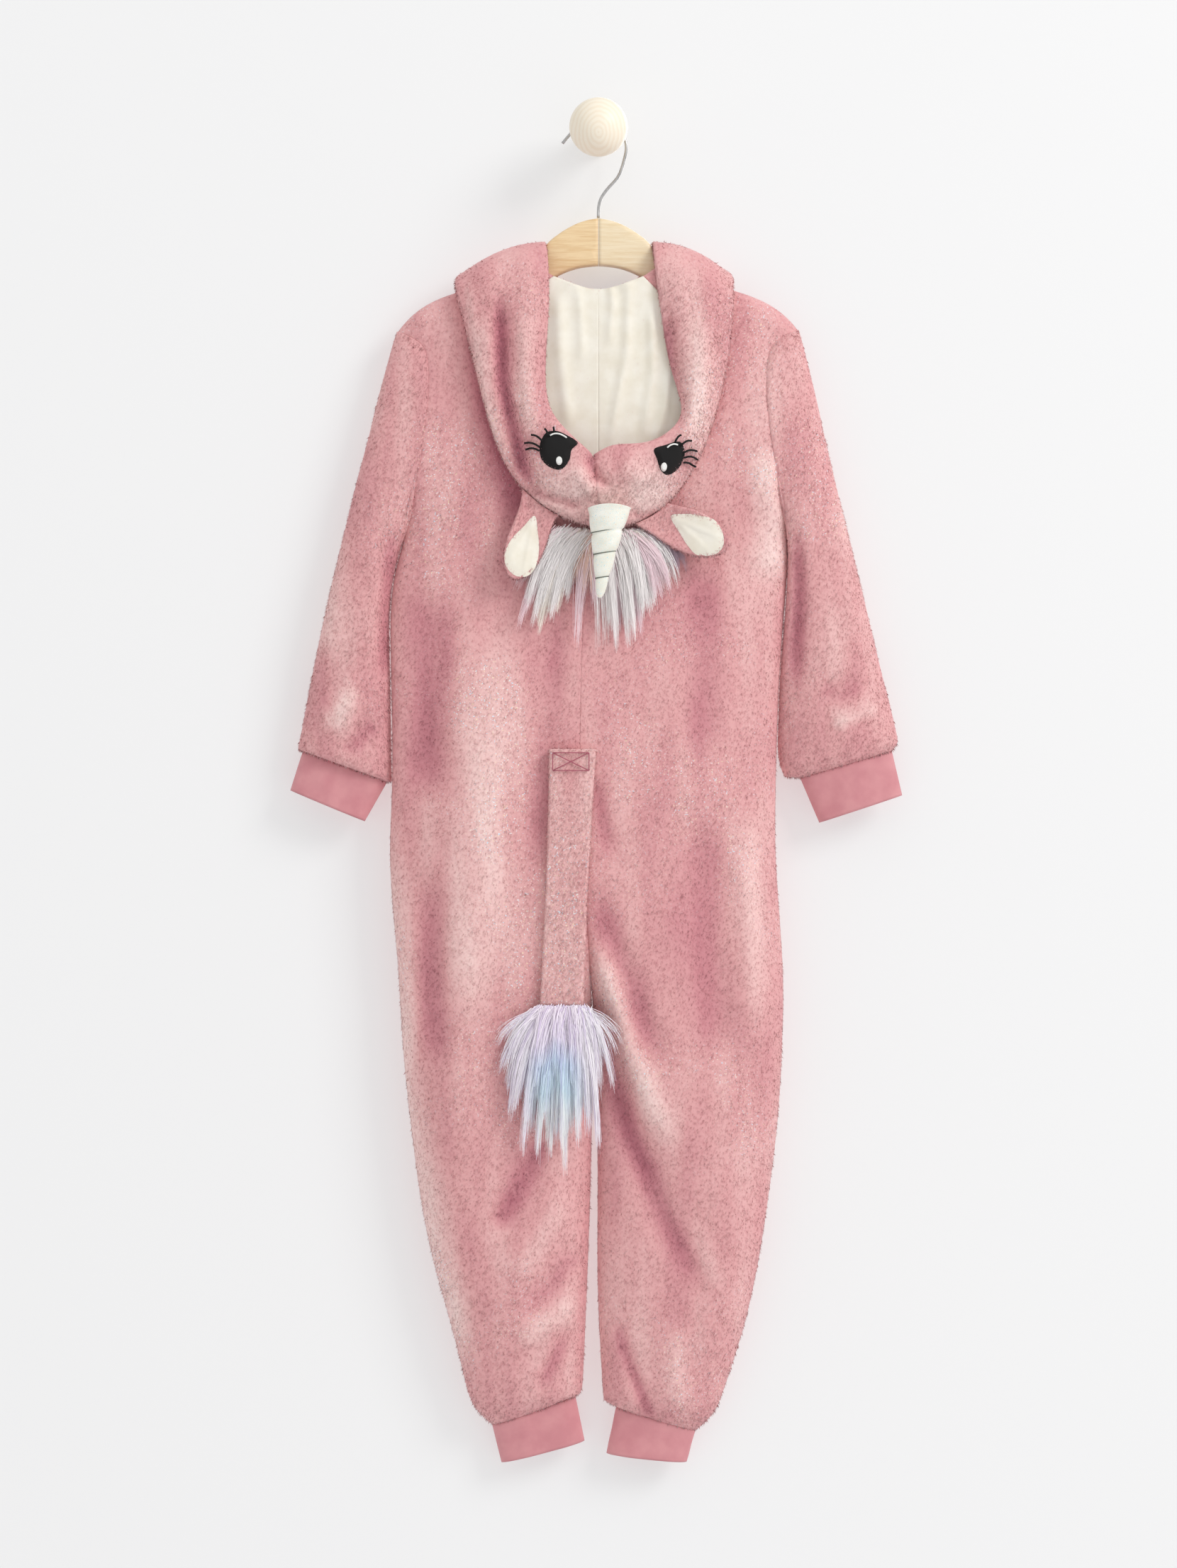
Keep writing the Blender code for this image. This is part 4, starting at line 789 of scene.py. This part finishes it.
def scattered(mesh, count, wanted):
    """Random places on a mesh with their normals, even over its area."""
    points, normals = corners_and_normals(mesh, wanted)
    areas = np.linalg.norm(np.cross(points[:, 1] - points[:, 0], points[:, 2] - points[:, 0]), axis=1)
    chosen = rng.choice(len(areas), count, p=areas / areas.sum())
    first, second = np.sqrt(rng.random(count)), rng.random(count)
    weights = np.stack([1 - first, first * (1 - second), first * second], axis=1)[:, :, None]
    return (points[chosen] * weights).sum(axis=1), unit((normals[chosen] * weights).sum(axis=1))


def pile_mesh(name, mesh, count, wanted, folds):
    """Thin blades of nap on a mesh, combed down in soft patches."""
    places, normals = scattered(mesh, count, wanted)
    nap = nap_with_fold_shade(places, folds)
    comb = noise_at(places, 34, 3.0)
    sway = noise_at(places, 22, 9.0)
    down = np.stack([0.5 * sway, 0.2 * comb, -0.9 + 0.35 * comb], axis=1)
    loose = rng.normal(size=(count, 3)) * PILE_LOOSE
    direction = unit(normals + PILE_LEAN * down + loose)
    direction += normals * np.clip(0.25 - (direction * normals).sum(axis=1), 0, None)[:, None]
    direction = unit(direction)
    across = unit(np.cross(direction, normals + rng.normal(size=(count, 3)) * 0.5))
    reach = direction * PILE_LENGTH * (0.6 + 0.8 * rng.random(count))[:, None]
    width = PILE_WIDTH * (0.6 + 0.7 * rng.random(count))[:, None]
    root = places - normals * PILE_ROOT
    # A blade whose face would look into the cloth has its two root corners swapped, or it would be lit
    # from the wrong side.
    inward = (np.cross(across, direction) * normals).sum(axis=1) < 0
    across[inward] *= -1
    points = np.stack([root - across * width / 2, root + across * width / 2, root + reach], axis=1)
    made = new_mesh(name, points.reshape(-1, 3), np.arange(count * 3).reshape(-1, 3).tolist())
    bent = unit(normals + 0.2 * direction + rng.normal(size=(count, 3)) * 0.1)
    made.shade_smooth()
    made.normals_split_custom_set(np.repeat(bent, 3, axis=0).tolist())
    # The blades carry the nap's lightness, with the folds' painted shade and highlight.
    set_nap(made, np.repeat(np.clip(nap + rng.normal(size=count) * 0.05, 0, 1), 3))
    return made


def widen(mesh, share):
    """Makes a piece larger or smaller about its middle, as the viewer sees it."""
    points = read_points(mesh)
    middle = (points.min(axis=0) + points.max(axis=0)) / 2
    write_points(mesh, middle + (points - middle) * (share, 1, share))


def swell(mesh, amount):
    """Moves a closed wall's points outwards, so that walls meet at their seams."""
    normals = np.zeros(len(mesh.vertices) * 3)
    mesh.vertices.foreach_get("normal", normals)
    write_points(mesh, read_points(mesh) + normals.reshape(-1, 3) * amount)


def outside(index, normal):
    """Lets a wall's outer side and its edges through."""
    return index != INNER


def toward_viewer(index, normal):
    """Lets the outer side and the edges through where they don't look at the wall."""
    return (index != INNER) & (normal[:, 1] < 0.45)


def add_cloth(kind, side, levels, slot, wanted=outside, amount=1.0, folds=(), fold_depth=-20, share=1.0):
    """A fine wall in place of a node, with its pile where it is fleece."""
    node = f"{kind}_{side}"
    mesh = refined(node, levels)
    widen(mesh, share)
    if slot != "cuff_jersey":
        swell(mesh, SLEEVE_CLOSE if kind == "sleeve" else SEAM_CLOSE)
    crumple(mesh, amount, folds, fold_depth)
    piece = add_piece(f"{node}_cloth", mesh, [MATERIALS[slot]] * 3, replaces=(node,))
    if kind in PILE_COUNTS:
        # The cloth's nap carries the folds' painted shade and highlight.
        set_nap(mesh, nap_with_fold_shade(read_points(mesh), folds))
        pile = pile_mesh(f"{node}_pile", mesh, PILE_COUNTS[kind], wanted, folds)
        add_piece(f"{node}_pile", pile, [FLEECE])
    return piece


def add_garment():
    """The body, the sleeves and the cuffs. Returns the two front panels."""
    fronts = []
    for side in ("left", "right"):
        add_cloth("back", side, 2, "fleece", folds=BACK_FOLDS)
        fronts.append(add_cloth("front", side, 2, "fleece"))
        add_cloth("sleeve", side, 2, "fleece", folds=SLEEVE_FOLDS)
        for cuff in ("wrist_cuff", "ankle_cuff"):
            add_cloth(cuff, side, 3, "cuff_jersey")
    return fronts


def add_hood():
    """The hood's halves with their linings and ears. Returns the two halves."""
    halves = []
    for side in ("left", "right"):
        halves.append(add_cloth("hood", side, 2, "fleece", toward_viewer, 0.7, HOOD_FOLDS, -45))
        add_cloth("hood_lining", side, 3, "lining_jersey", outside, 0.5, LINING_FOLDS, 100)
        ear = add_cloth("ear_outer", side, 2, "fleece", outside, 0.3, share=EAR_OUTER_SHARE)
        node = f"ear_inner_{side}"
        lining = add_patch(
            f"{node}_cloth", surface_of([ear]), EAR_LININGS[side], EAR_LINING_LIFT,
            MATERIALS["lining_jersey"], replaces=(node,), creases=EAR_CREASES,
        )
    return halves


# Long fur.


def wisp_strands(root, tip, reach, count, width, spreads):
    """The points of a wisp's tapered ribbons, which bow toward the viewer, and their normals."""
    root_spread, tip_spread = spreads
    start = root + rng.normal(size=(count, 3)) * root_spread
    end = tip + rng.normal(size=(count, 3)) * tip_spread
    travel = (end - start) * (1 - 0.28 * rng.random((count, 1)) ** 2)
    end = start + travel
    bow = np.stack(
        [
            0.26 * travel[:, 0] + 1.2 * rng.normal(),
            -reach - 3 * rng.random(count),
            0.17 * np.abs(travel[:, 2]),
        ],
        axis=1,
    )
    control = start + travel / 2 + bow
    share = np.linspace(0, 1, STRAND_STEPS + 1)[None, :, None]
    middle = (
        (1 - share) ** 2 * start[:, None]
        + 2 * share * (1 - share) * control[:, None]
        + share ** 2 * end[:, None]
    )
    turns = rng.normal(size=(count, 3)) * (0.8, 0.4, 0.3)
    turns[:, 0] = np.abs(turns[:, 0]) + 0.4
    half = unit(turns)[:, None] * width / 2 * (1 - 0.85 * share)
    facing = unit(np.array((0.12, -1, 0.3)) + rng.normal(size=(count, 3)) * 0.16)
    normals = np.repeat(facing, 2 * (STRAND_STEPS + 1), axis=0)
    return np.stack([middle - half, middle + half], axis=2).reshape(-1, 3), normals


def strand_mesh(name, locks, strands, wisp_spread, spreads, width):
    """Long fur in wisps. A lock is its root, tip, reach toward the viewer, fullness and material's index."""
    points, normals, indices, tones = [], [], [], []
    for root, tip, reach, fullness, index in locks:
        for _ in range(max(2, round(WISPS * fullness))):
            wisp_tip = root + (tip + rng.normal(size=3) * wisp_spread - root) * (1.06 - 0.36 * rng.random())
            count = max(5, round(strands * fullness))
            made_points, made_normals = wisp_strands(root, wisp_tip, reach, count, width, spreads)
            points.append(made_points)
            normals.append(made_normals)
            tones.append(np.repeat(rng.random(count), 2 * (STRAND_STEPS + 1)))
            indices.append(np.full(count * STRAND_STEPS, index))
    points = np.concatenate(points)
    rows = np.arange(len(points) // 2).reshape(-1, STRAND_STEPS + 1)[:, :-1].ravel() * 2
    faces = np.stack([rows, rows + 2, rows + 3, rows + 1], axis=1)
    mesh = new_mesh(name, points, faces.tolist())
    mesh.polygons.foreach_set("material_index", np.concatenate(indices).astype(np.int32))
    mesh.shade_smooth()
    mesh.normals_split_custom_set_from_vertices(np.concatenate(normals).tolist())
    tones = np.concatenate(tones).astype(np.float32)
    mesh.attributes.new("tone", "FLOAT", "POINT").data.foreach_set("value", tones)
    return mesh


def add_mane():
    names = list(LOCK_COLOURS)
    low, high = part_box("mane")
    depth = (low.y + high.y) / 2 / MM
    locks = []
    for root_x, tip_x, tip_z, reach, fullness, colour in MANE_LOCKS:
        share = (root_x + 40) / 90
        root_z = MANE_ROOT_Z[0] + (MANE_ROOT_Z[1] - MANE_ROOT_Z[0]) * math.sin(math.pi * share)
        root = np.array((root_x, depth + 1, root_z))
        tip = np.array((tip_x, depth - 2 - reach, tip_z))
        locks.append((root, tip, reach, fullness, names.index(colour)))
    mesh = strand_mesh("mane_fur", locks, **MANE_FUR)
    materials = [fur_material(f"fur_{name}", linear(*LOCK_COLOURS[name])) for name in names]
    add_piece("mane_fur", mesh, materials, replaces=("mane",))


def add_tuft():
    low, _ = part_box("tail")
    depth = low.y / MM + 3
    locks = []
    for root_x, tip_x, tip_z, reach, fullness in TUFT_LOCKS:
        root = np.array((root_x, depth, TUFT_ROOT_Z))
        locks.append((root, np.array((tip_x, depth - reach, tip_z)), reach, fullness, 0))
    mesh = strand_mesh("tail_fur", locks, **TUFT_FUR)
    add_piece("tail_fur", mesh, [MATERIALS["tail_fur"]], replaces=("tail_tuft",))


# The tail, the horn and the embroidery.


def not_behind(index, normal):
    """Lets through what doesn't look at the wall."""
    return normal[:, 1] < 0.6


def add_tail():
    mesh = refined("tail", 2)
    # The strap's nap, from its fold table: a little lighter down its middle.
    set_nap(mesh, nap_with_fold_shade(read_points(mesh), TAIL_FOLDS))
    piece = add_piece("tail_strap", mesh, [FLEECE] * 3, replaces=("tail",))
    pile = pile_mesh("tail_pile", mesh, PILE_COUNTS["tail"], not_behind, TAIL_FOLDS)
    add_piece("tail_pile", pile, [FLEECE])
    return piece


def add_horn():
    """The soft horn: a padded cone, drawn in along its stitched rings."""
    low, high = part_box("horn")
    top, tip = high.z / MM, low.z / MM
    sides, rings = 64, 90
    points = read_points(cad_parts["horn"].data)
    base = points[points[:, 2] > top - 1]
    end = points[points[:, 2] < tip + 1]
    start, stop = (base.min(0) + base.max(0)) / 2, (end.min(0) + end.max(0)) / 2
    radius, end_radius = np.ptp(base, axis=0) / 2, np.ptp(end, axis=0) / 2
    made = []
    for row in range(rings + 1):
        share = row / rings
        middle = start + (stop - start) * share
        size = radius + (end_radius - radius) * share
        if share > HORN_TIP:
            size = size * math.sqrt(max(1 - ((share - HORN_TIP) / HORN_TIP_LENGTH) ** 2, 0.02))
        for side in range(sides):
            angle = 2 * math.pi * side / sides
            x, y = math.cos(angle), math.sin(angle)
            z = middle[2]
            slant = z - HORN_SLANT * x * size[0]
            pull = sum(math.exp(-(((slant - ring) / RING_WIDTH) ** 2)) for ring in HORN_RINGS)
            puff = HORN_BULGE * abs(math.sin(math.pi * (slant - HORN_RINGS[0]) / RING_STEP))
            edge = 1 - RING_DEPTH * pull
            rim = RIM_ARCH * (1 - x * x) * (1 - share) ** 6 - RIM_DROP * (1 - share) ** 4
            made.append(
                (middle[0] + x * (size[0] * edge + puff), middle[1] + y * (size[1] * edge + puff), z + rim)
            )
    faces = ring_faces(0, rings + 1, sides)
    faces += [tuple(range(sides)), tuple(range(rings * sides, (rings + 1) * sides))]
    mesh = new_mesh("horn_soft", made, faces)
    tidy_normals(mesh)
    piece = add_piece("horn_soft", mesh, [MATERIALS["horn_cloth"]], replaces=("horn",))
    for number, ring in enumerate(HORN_RINGS):
        share = (top - ring) / (top - tip)
        middle = start + (stop - start) * share
        size = radius + (end_radius - radius) * share
        line = []
        for angle in np.linspace(0, 2 * math.pi, 48, endpoint=False):
            x, y = math.cos(angle), math.sin(angle)
            away = (x * size[0] * 0.975, y * size[1] * 0.96, HORN_SLANT * x * size[0])
            line.append(middle + np.array(away))
        add_thread(f"horn_ring_{number + 1}", [line], RING_RADIUS, THREAD_GREY, closed=True)


def add_thread(name, lines, radius, material, closed=False):
    """Round threads along lines of points."""
    points, faces = [], []
    sides = 6
    for line in lines:
        line = np.array(line, dtype=float)
        count = len(line)
        along = unit(np.roll(line, -1, axis=0) - np.roll(line, 1, axis=0))
        if not closed:
            along[0] = unit(line[1] - line[0])
            along[-1] = unit(line[-1] - line[-2])
        first = len(points)
        for place in range(count):
            across = unit(np.cross(along[place], (0.1, 1, 0.05)))
            lift = unit(np.cross(across, along[place]))
            for side in range(sides):
                angle = 2 * math.pi * side / sides
                points.append(line[place] + radius * (across * math.cos(angle) + lift * math.sin(angle)))
        faces += ring_faces(first, count, sides, closed)
        if not closed:
            last = first + (count - 1) * sides
            faces += [tuple(range(first, first + sides)), tuple(range(last, last + sides))]
    mesh = new_mesh(name, points, faces)
    tidy_normals(mesh)
    add_piece(name, mesh, [material])


def surface_of(pieces):
    """A search tree over some pieces."""
    points, faces = [], []
    for piece in pieces:
        start = len(points)
        points += [vertex.co / MM for vertex in piece.data.vertices]
        faces += [tuple(start + place for place in face.vertices) for face in piece.data.polygons]
    return BVHTree.FromPolygons(points, faces)


def on_surface(tree, x, z, lift):
    """The point on the surface at x and z as the viewer sees it, lifted toward the viewer."""
    hit = tree.ray_cast(Vector((x, -300, z)), Vector((0, 1, 0)))[0]
    if hit is None:
        hit = tree.find_nearest(Vector((x, -75, z)))[0]
    return np.array((x, hit.y - lift, z))


def rounded_outline(outline, count=72):
    """A smooth closed curve through the points of an outline."""
    outline = np.array(outline, dtype=float)
    size = len(outline)
    curve = []
    for value in np.linspace(0, size, count, endpoint=False):
        place = int(value)
        share = value - place
        a, b, c, d = (outline[(place + step) % size] for step in (-1, 0, 1, 2))
        bend = (2 * a - 5 * b + 4 * c - d) * share ** 2 + (3 * b - a - 3 * c + d) * share ** 3
        curve.append(0.5 * (2 * b + (c - a) * share + bend))
    return np.array(curve)


def crease_height(place, start, middle, creases):
    """The height at a place of creases that fan out from a start, each at its angle from the middle line."""
    away, axis = place - start, middle - start
    angle = math.atan2(axis[0] * away[1] - axis[1] * away[0], float(away @ axis))
    beside = float(np.hypot(*away)) * (angle - np.array(creases)) / CREASE_WIDTH
    return CREASE_HEIGHT * float(np.exp(-(beside ** 2)).sum())


def add_patch(name, tree, outline, lift, material, replaces=(), creases=()):
    """A raised shape, embroidered or sewn on, that follows the surface under it."""
    outline = rounded_outline(outline)
    middle = outline.mean(axis=0)
    points = []
    count, rings = len(outline), 9
    for ring in range(rings):
        share = 1 - ring / rings
        rise = lift * min(1, 0.15 + 2.5 * (1 - share))
        for place in middle + (outline - middle) * share:
            height = crease_height(place, outline[0], middle, creases) * (1 - share)
            points.append(on_surface(tree, *place, rise + height))
    points.append(on_surface(tree, *middle, lift + crease_height(middle, outline[0], middle, creases)))
    faces = ring_faces(0, rings, count)
    last = (rings - 1) * count
    faces += [(last + place, last + (place + 1) % count, last + count) for place in range(count)]
    mesh = new_mesh(name, points, faces)
    mesh.shade_smooth()
    return add_piece(name, mesh, [material], replaces=replaces)


def arc_through(points, count):
    """Places on a smooth arc through three points."""
    start, middle, end = (np.array(point, dtype=float) for point in points)
    control = 2 * middle - (start + end) / 2
    shares = np.linspace(0, 1, count)[:, None]
    return (1 - shares) ** 2 * start + 2 * shares * (1 - shares) * control + shares ** 2 * end


def add_eyes(tree):
    for side, eye in EYES.items():
        add_patch(f"eye_{side}", tree, eye["outline"], EYE_LIFT, THREAD_BLACK)
        x, z, half_width, half_height = eye["shine"]
        turns = np.linspace(0, 2 * math.pi, 12, endpoint=False)
        shine = [(x + half_width * math.cos(turn), z + half_height * math.sin(turn)) for turn in turns]
        add_patch(f"eye_shine_{side}", tree, shine, SHINE_LIFT, THREAD_WHITE)
        line = np.array([on_surface(tree, *point, ARC_LIFT) for point in arc_through(eye["arc"], 11)])
        line[:, 1] = np.linspace(line[0, 1], line[-1, 1], len(line))
        add_thread(f"eye_arc_{side}", [line], ARC_RADIUS, THREAD_WHITE)
        lashes = []
        for (x0, z0), (x1, z1) in eye["lashes"]:
            line = []
            for share in np.linspace(0, 1, 5):
                x = x0 + (x1 - x0) * share
                z = z0 + (z1 - z0) * share + 1.6 * math.sin(math.pi * share)
                line.append(on_surface(tree, x, z, LASH_LIFT))
            lashes.append(line)
        add_thread(f"eye_lashes_{side}", lashes, LASH_RADIUS, THREAD_BLACK)


def add_box_stitch(tree):
    """The square of stitches with a cross in it that holds the tail to the back."""
    left, right, top, bottom = BOX_STITCH
    corners = [(left, top), (right, top), (right, bottom), (left, bottom)]
    lines = []
    for start, end in ((0, 1), (1, 2), (2, 3), (3, 0), (0, 2), (1, 3)):
        (x0, z0), (x1, z1) = corners[start], corners[end]
        shares = np.linspace(0, 1, 9)
        lines.append([on_surface(tree, x0 + (x1 - x0) * s, z0 + (z1 - z0) * s, STITCH_LIFT) for s in shares])
    add_thread("tail_stitches", lines, STITCH_RADIUS, THREAD_PINK)


# The zip, the hanger and the knob.


def add_zip_end(fronts):
    """The tab of tape over the zip's lower end, where the fronts come together."""
    tree = surface_of(fronts)
    outline = rounded_outline(ZIP_END_OUTLINE, 32)
    middle = outline.mean(axis=0)
    depths = []
    for x, z in outline:
        hit = tree.ray_cast(Vector((x, 50, z)), Vector((0, -1, 0)))[0]
        depths.append(hit.y if hit else -np.inf)
    depth = max(depths) + 0.3
    count = len(outline)
    points = [(x, depth, z) for x, z in outline]
    points += [(x, depth + ZIP_END_THICKNESS, z) for x, z in middle + (outline - middle) * 0.88]
    faces = ring_faces(0, 2, count) + [tuple(range(count)), tuple(range(count, 2 * count))]
    mesh = new_mesh("zip_end", points, faces)
    tidy_normals(mesh)
    add_piece("zip_end", mesh, [MATERIALS["zip_tape"]])


def add_zip(fronts):
    """The coil's teeth on the plain strip, the tab at its end, and the other parts' finish."""
    line = read_points(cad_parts["zip_teeth"].data)
    heights = np.arange(line[:, 2].max() - 2, line[:, 2].min() + 2, -TOOTH_PITCH)
    shape = Matrix.Diagonal(Vector((*TOOTH_SIZE, 1 / MM)) * MM)
    body = bmesh.new()
    for number, height in enumerate(heights):
        near = line[np.argsort(np.abs(line[:, 2] - height))[:8]]
        middle = (near[:, 0].min() + near[:, 0].max()) / 2
        side = TOOTH_SHIFT if number % 2 else -TOOTH_SHIFT
        place = Matrix.Translation(Vector((middle + side, near[:, 1].max(), height)) * MM)
        bmesh.ops.create_uvsphere(body, u_segments=8, v_segments=5, radius=0.5, matrix=place @ shape)
    mesh = bpy.data.meshes.new("zip_coil")
    body.to_mesh(mesh)
    body.free()
    mesh.shade_smooth()
    add_piece("zip_coil", mesh, [MATERIALS["zip_coil"]])
    add_zip_end(fronts)
    for slot, nodes in (
        ("zip_tape", ("zip_teeth", "zip_tape_left", "zip_tape_right")),
        ("zip_metal", ("zip_slider", "zip_pull")),
    ):
        for node in nodes:
            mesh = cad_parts[node].data
            mesh.materials.clear()
            mesh.materials.append(MATERIALS[slot])


def add_hard_parts():
    for node, slot, levels in (
        ("hanger_arm_left", "wood_warm", 2),
        ("hanger_arm_right", "wood_pale", 2),
        ("knob", "knob_wood", 2),
        ("hanger_hook", "wire", 1),
    ):
        add_piece(f"{node}_fine", refined(node, levels), [MATERIALS[slot]] * 3, replaces=(node,))


# The stage, the camera and the lights.


def add_plane(name, corners, material):
    """A plane of the stage, from corners in metres."""
    mesh = bpy.data.meshes.new(name)
    mesh.from_pydata(corners, [], [(0, 1, 2, 3)])
    mesh.materials.append(material)
    plane = placed(name, mesh)
    return plane


def add_stage():
    """The wall, which is only seen from the room's side and lights nothing, and the floor far below."""
    made = Shader("backdrop", 0.9)
    made.principled.inputs["Base Color"].default_value = grey(0.52)
    made.principled.inputs["Emission Color"].default_value = WHITE
    made.principled.inputs["Emission Strength"].default_value = 0.375
    clear = made.tree.nodes.new("ShaderNodeBsdfTransparent")
    geometry = made.tree.nodes.new("ShaderNodeNewGeometry")
    mix = made.tree.nodes.new("ShaderNodeMixShader")
    made.link(geometry.outputs["Backfacing"], mix.inputs[0])
    made.link(made.principled.outputs["BSDF"], mix.inputs[1])
    made.link(clear.outputs["BSDF"], mix.inputs[2])
    made.link(mix.outputs["Shader"], made.tree.nodes["Material Output"].inputs["Surface"])
    corners = [(-6, 0.0005, -1.7), (6, 0.0005, -1.7), (6, 0.0005, 2.4), (-6, 0.0005, 2.4)]
    behind = add_plane("backdrop", corners, made.material)
    behind.visible_shadow = False
    behind.visible_diffuse = False
    behind.visible_glossy = False
    pale = Shader("floor", 0.9)
    pale.principled.inputs["Base Color"].default_value = linear(226, 226, 228)
    add_plane("floor", [(-6, -6, -1.7), (6, -6, -1.7), (6, 6, -1.7), (-6, 6, -1.7)], pale.material)


def aimed(place, target):
    """The turn that points an object at a place along its own -Z."""
    return (Vector(target) - Vector(place)).to_track_quat("-Z", "Y").to_euler()


def add_light(name, place, size, power):
    """A square lamp, aimed at the garment's middle."""
    light = bpy.data.lights.new(name, "AREA")
    light.size = size
    light.energy = power
    made = placed(name, light)
    made.location = place
    made.rotation_euler = aimed(place, (0, 0, -0.5))


def add_camera_and_lights():
    camera = bpy.data.cameras.new("camera")
    camera.sensor_fit = "VERTICAL"
    camera.sensor_height = SENSOR_HEIGHT
    camera.lens = SENSOR_HEIGHT * CAMERA_DISTANCE / PICTURE_HEIGHT
    camera.clip_end = 50
    made = placed("camera", camera)
    x, z = PICTURE_CENTRE
    place = Vector((x, GARMENT_PLANE_Y - CAMERA_DISTANCE, z)) * MM
    made.location = place
    made.rotation_euler = aimed(place, place + Vector((0, 1, 0)))
    bpy.context.scene.camera = made
    add_light("key", (3.4, -2.8, 2.2), 1.9, 100)
    add_light("rear", (0.8, 2.2, 0.4), 1.5, 20)
    world = bpy.data.worlds.new("world")
    world.use_nodes = True
    world.node_tree.nodes["Background"].inputs["Color"].default_value = WHITE
    world.node_tree.nodes["Background"].inputs["Strength"].default_value = 0.8
    bpy.context.scene.world = world
    bpy.context.scene.view_settings.view_transform = "Standard"


def main():
    add_camera_and_lights()
    add_stage()
    fronts = add_garment()
    hood = add_hood()
    add_horn()
    add_mane()
    tail = add_tail()
    add_tuft()
    add_eyes(surface_of(hood))
    add_box_stitch(surface_of([tail]))
    add_zip(fronts)
    add_hard_parts()


main()
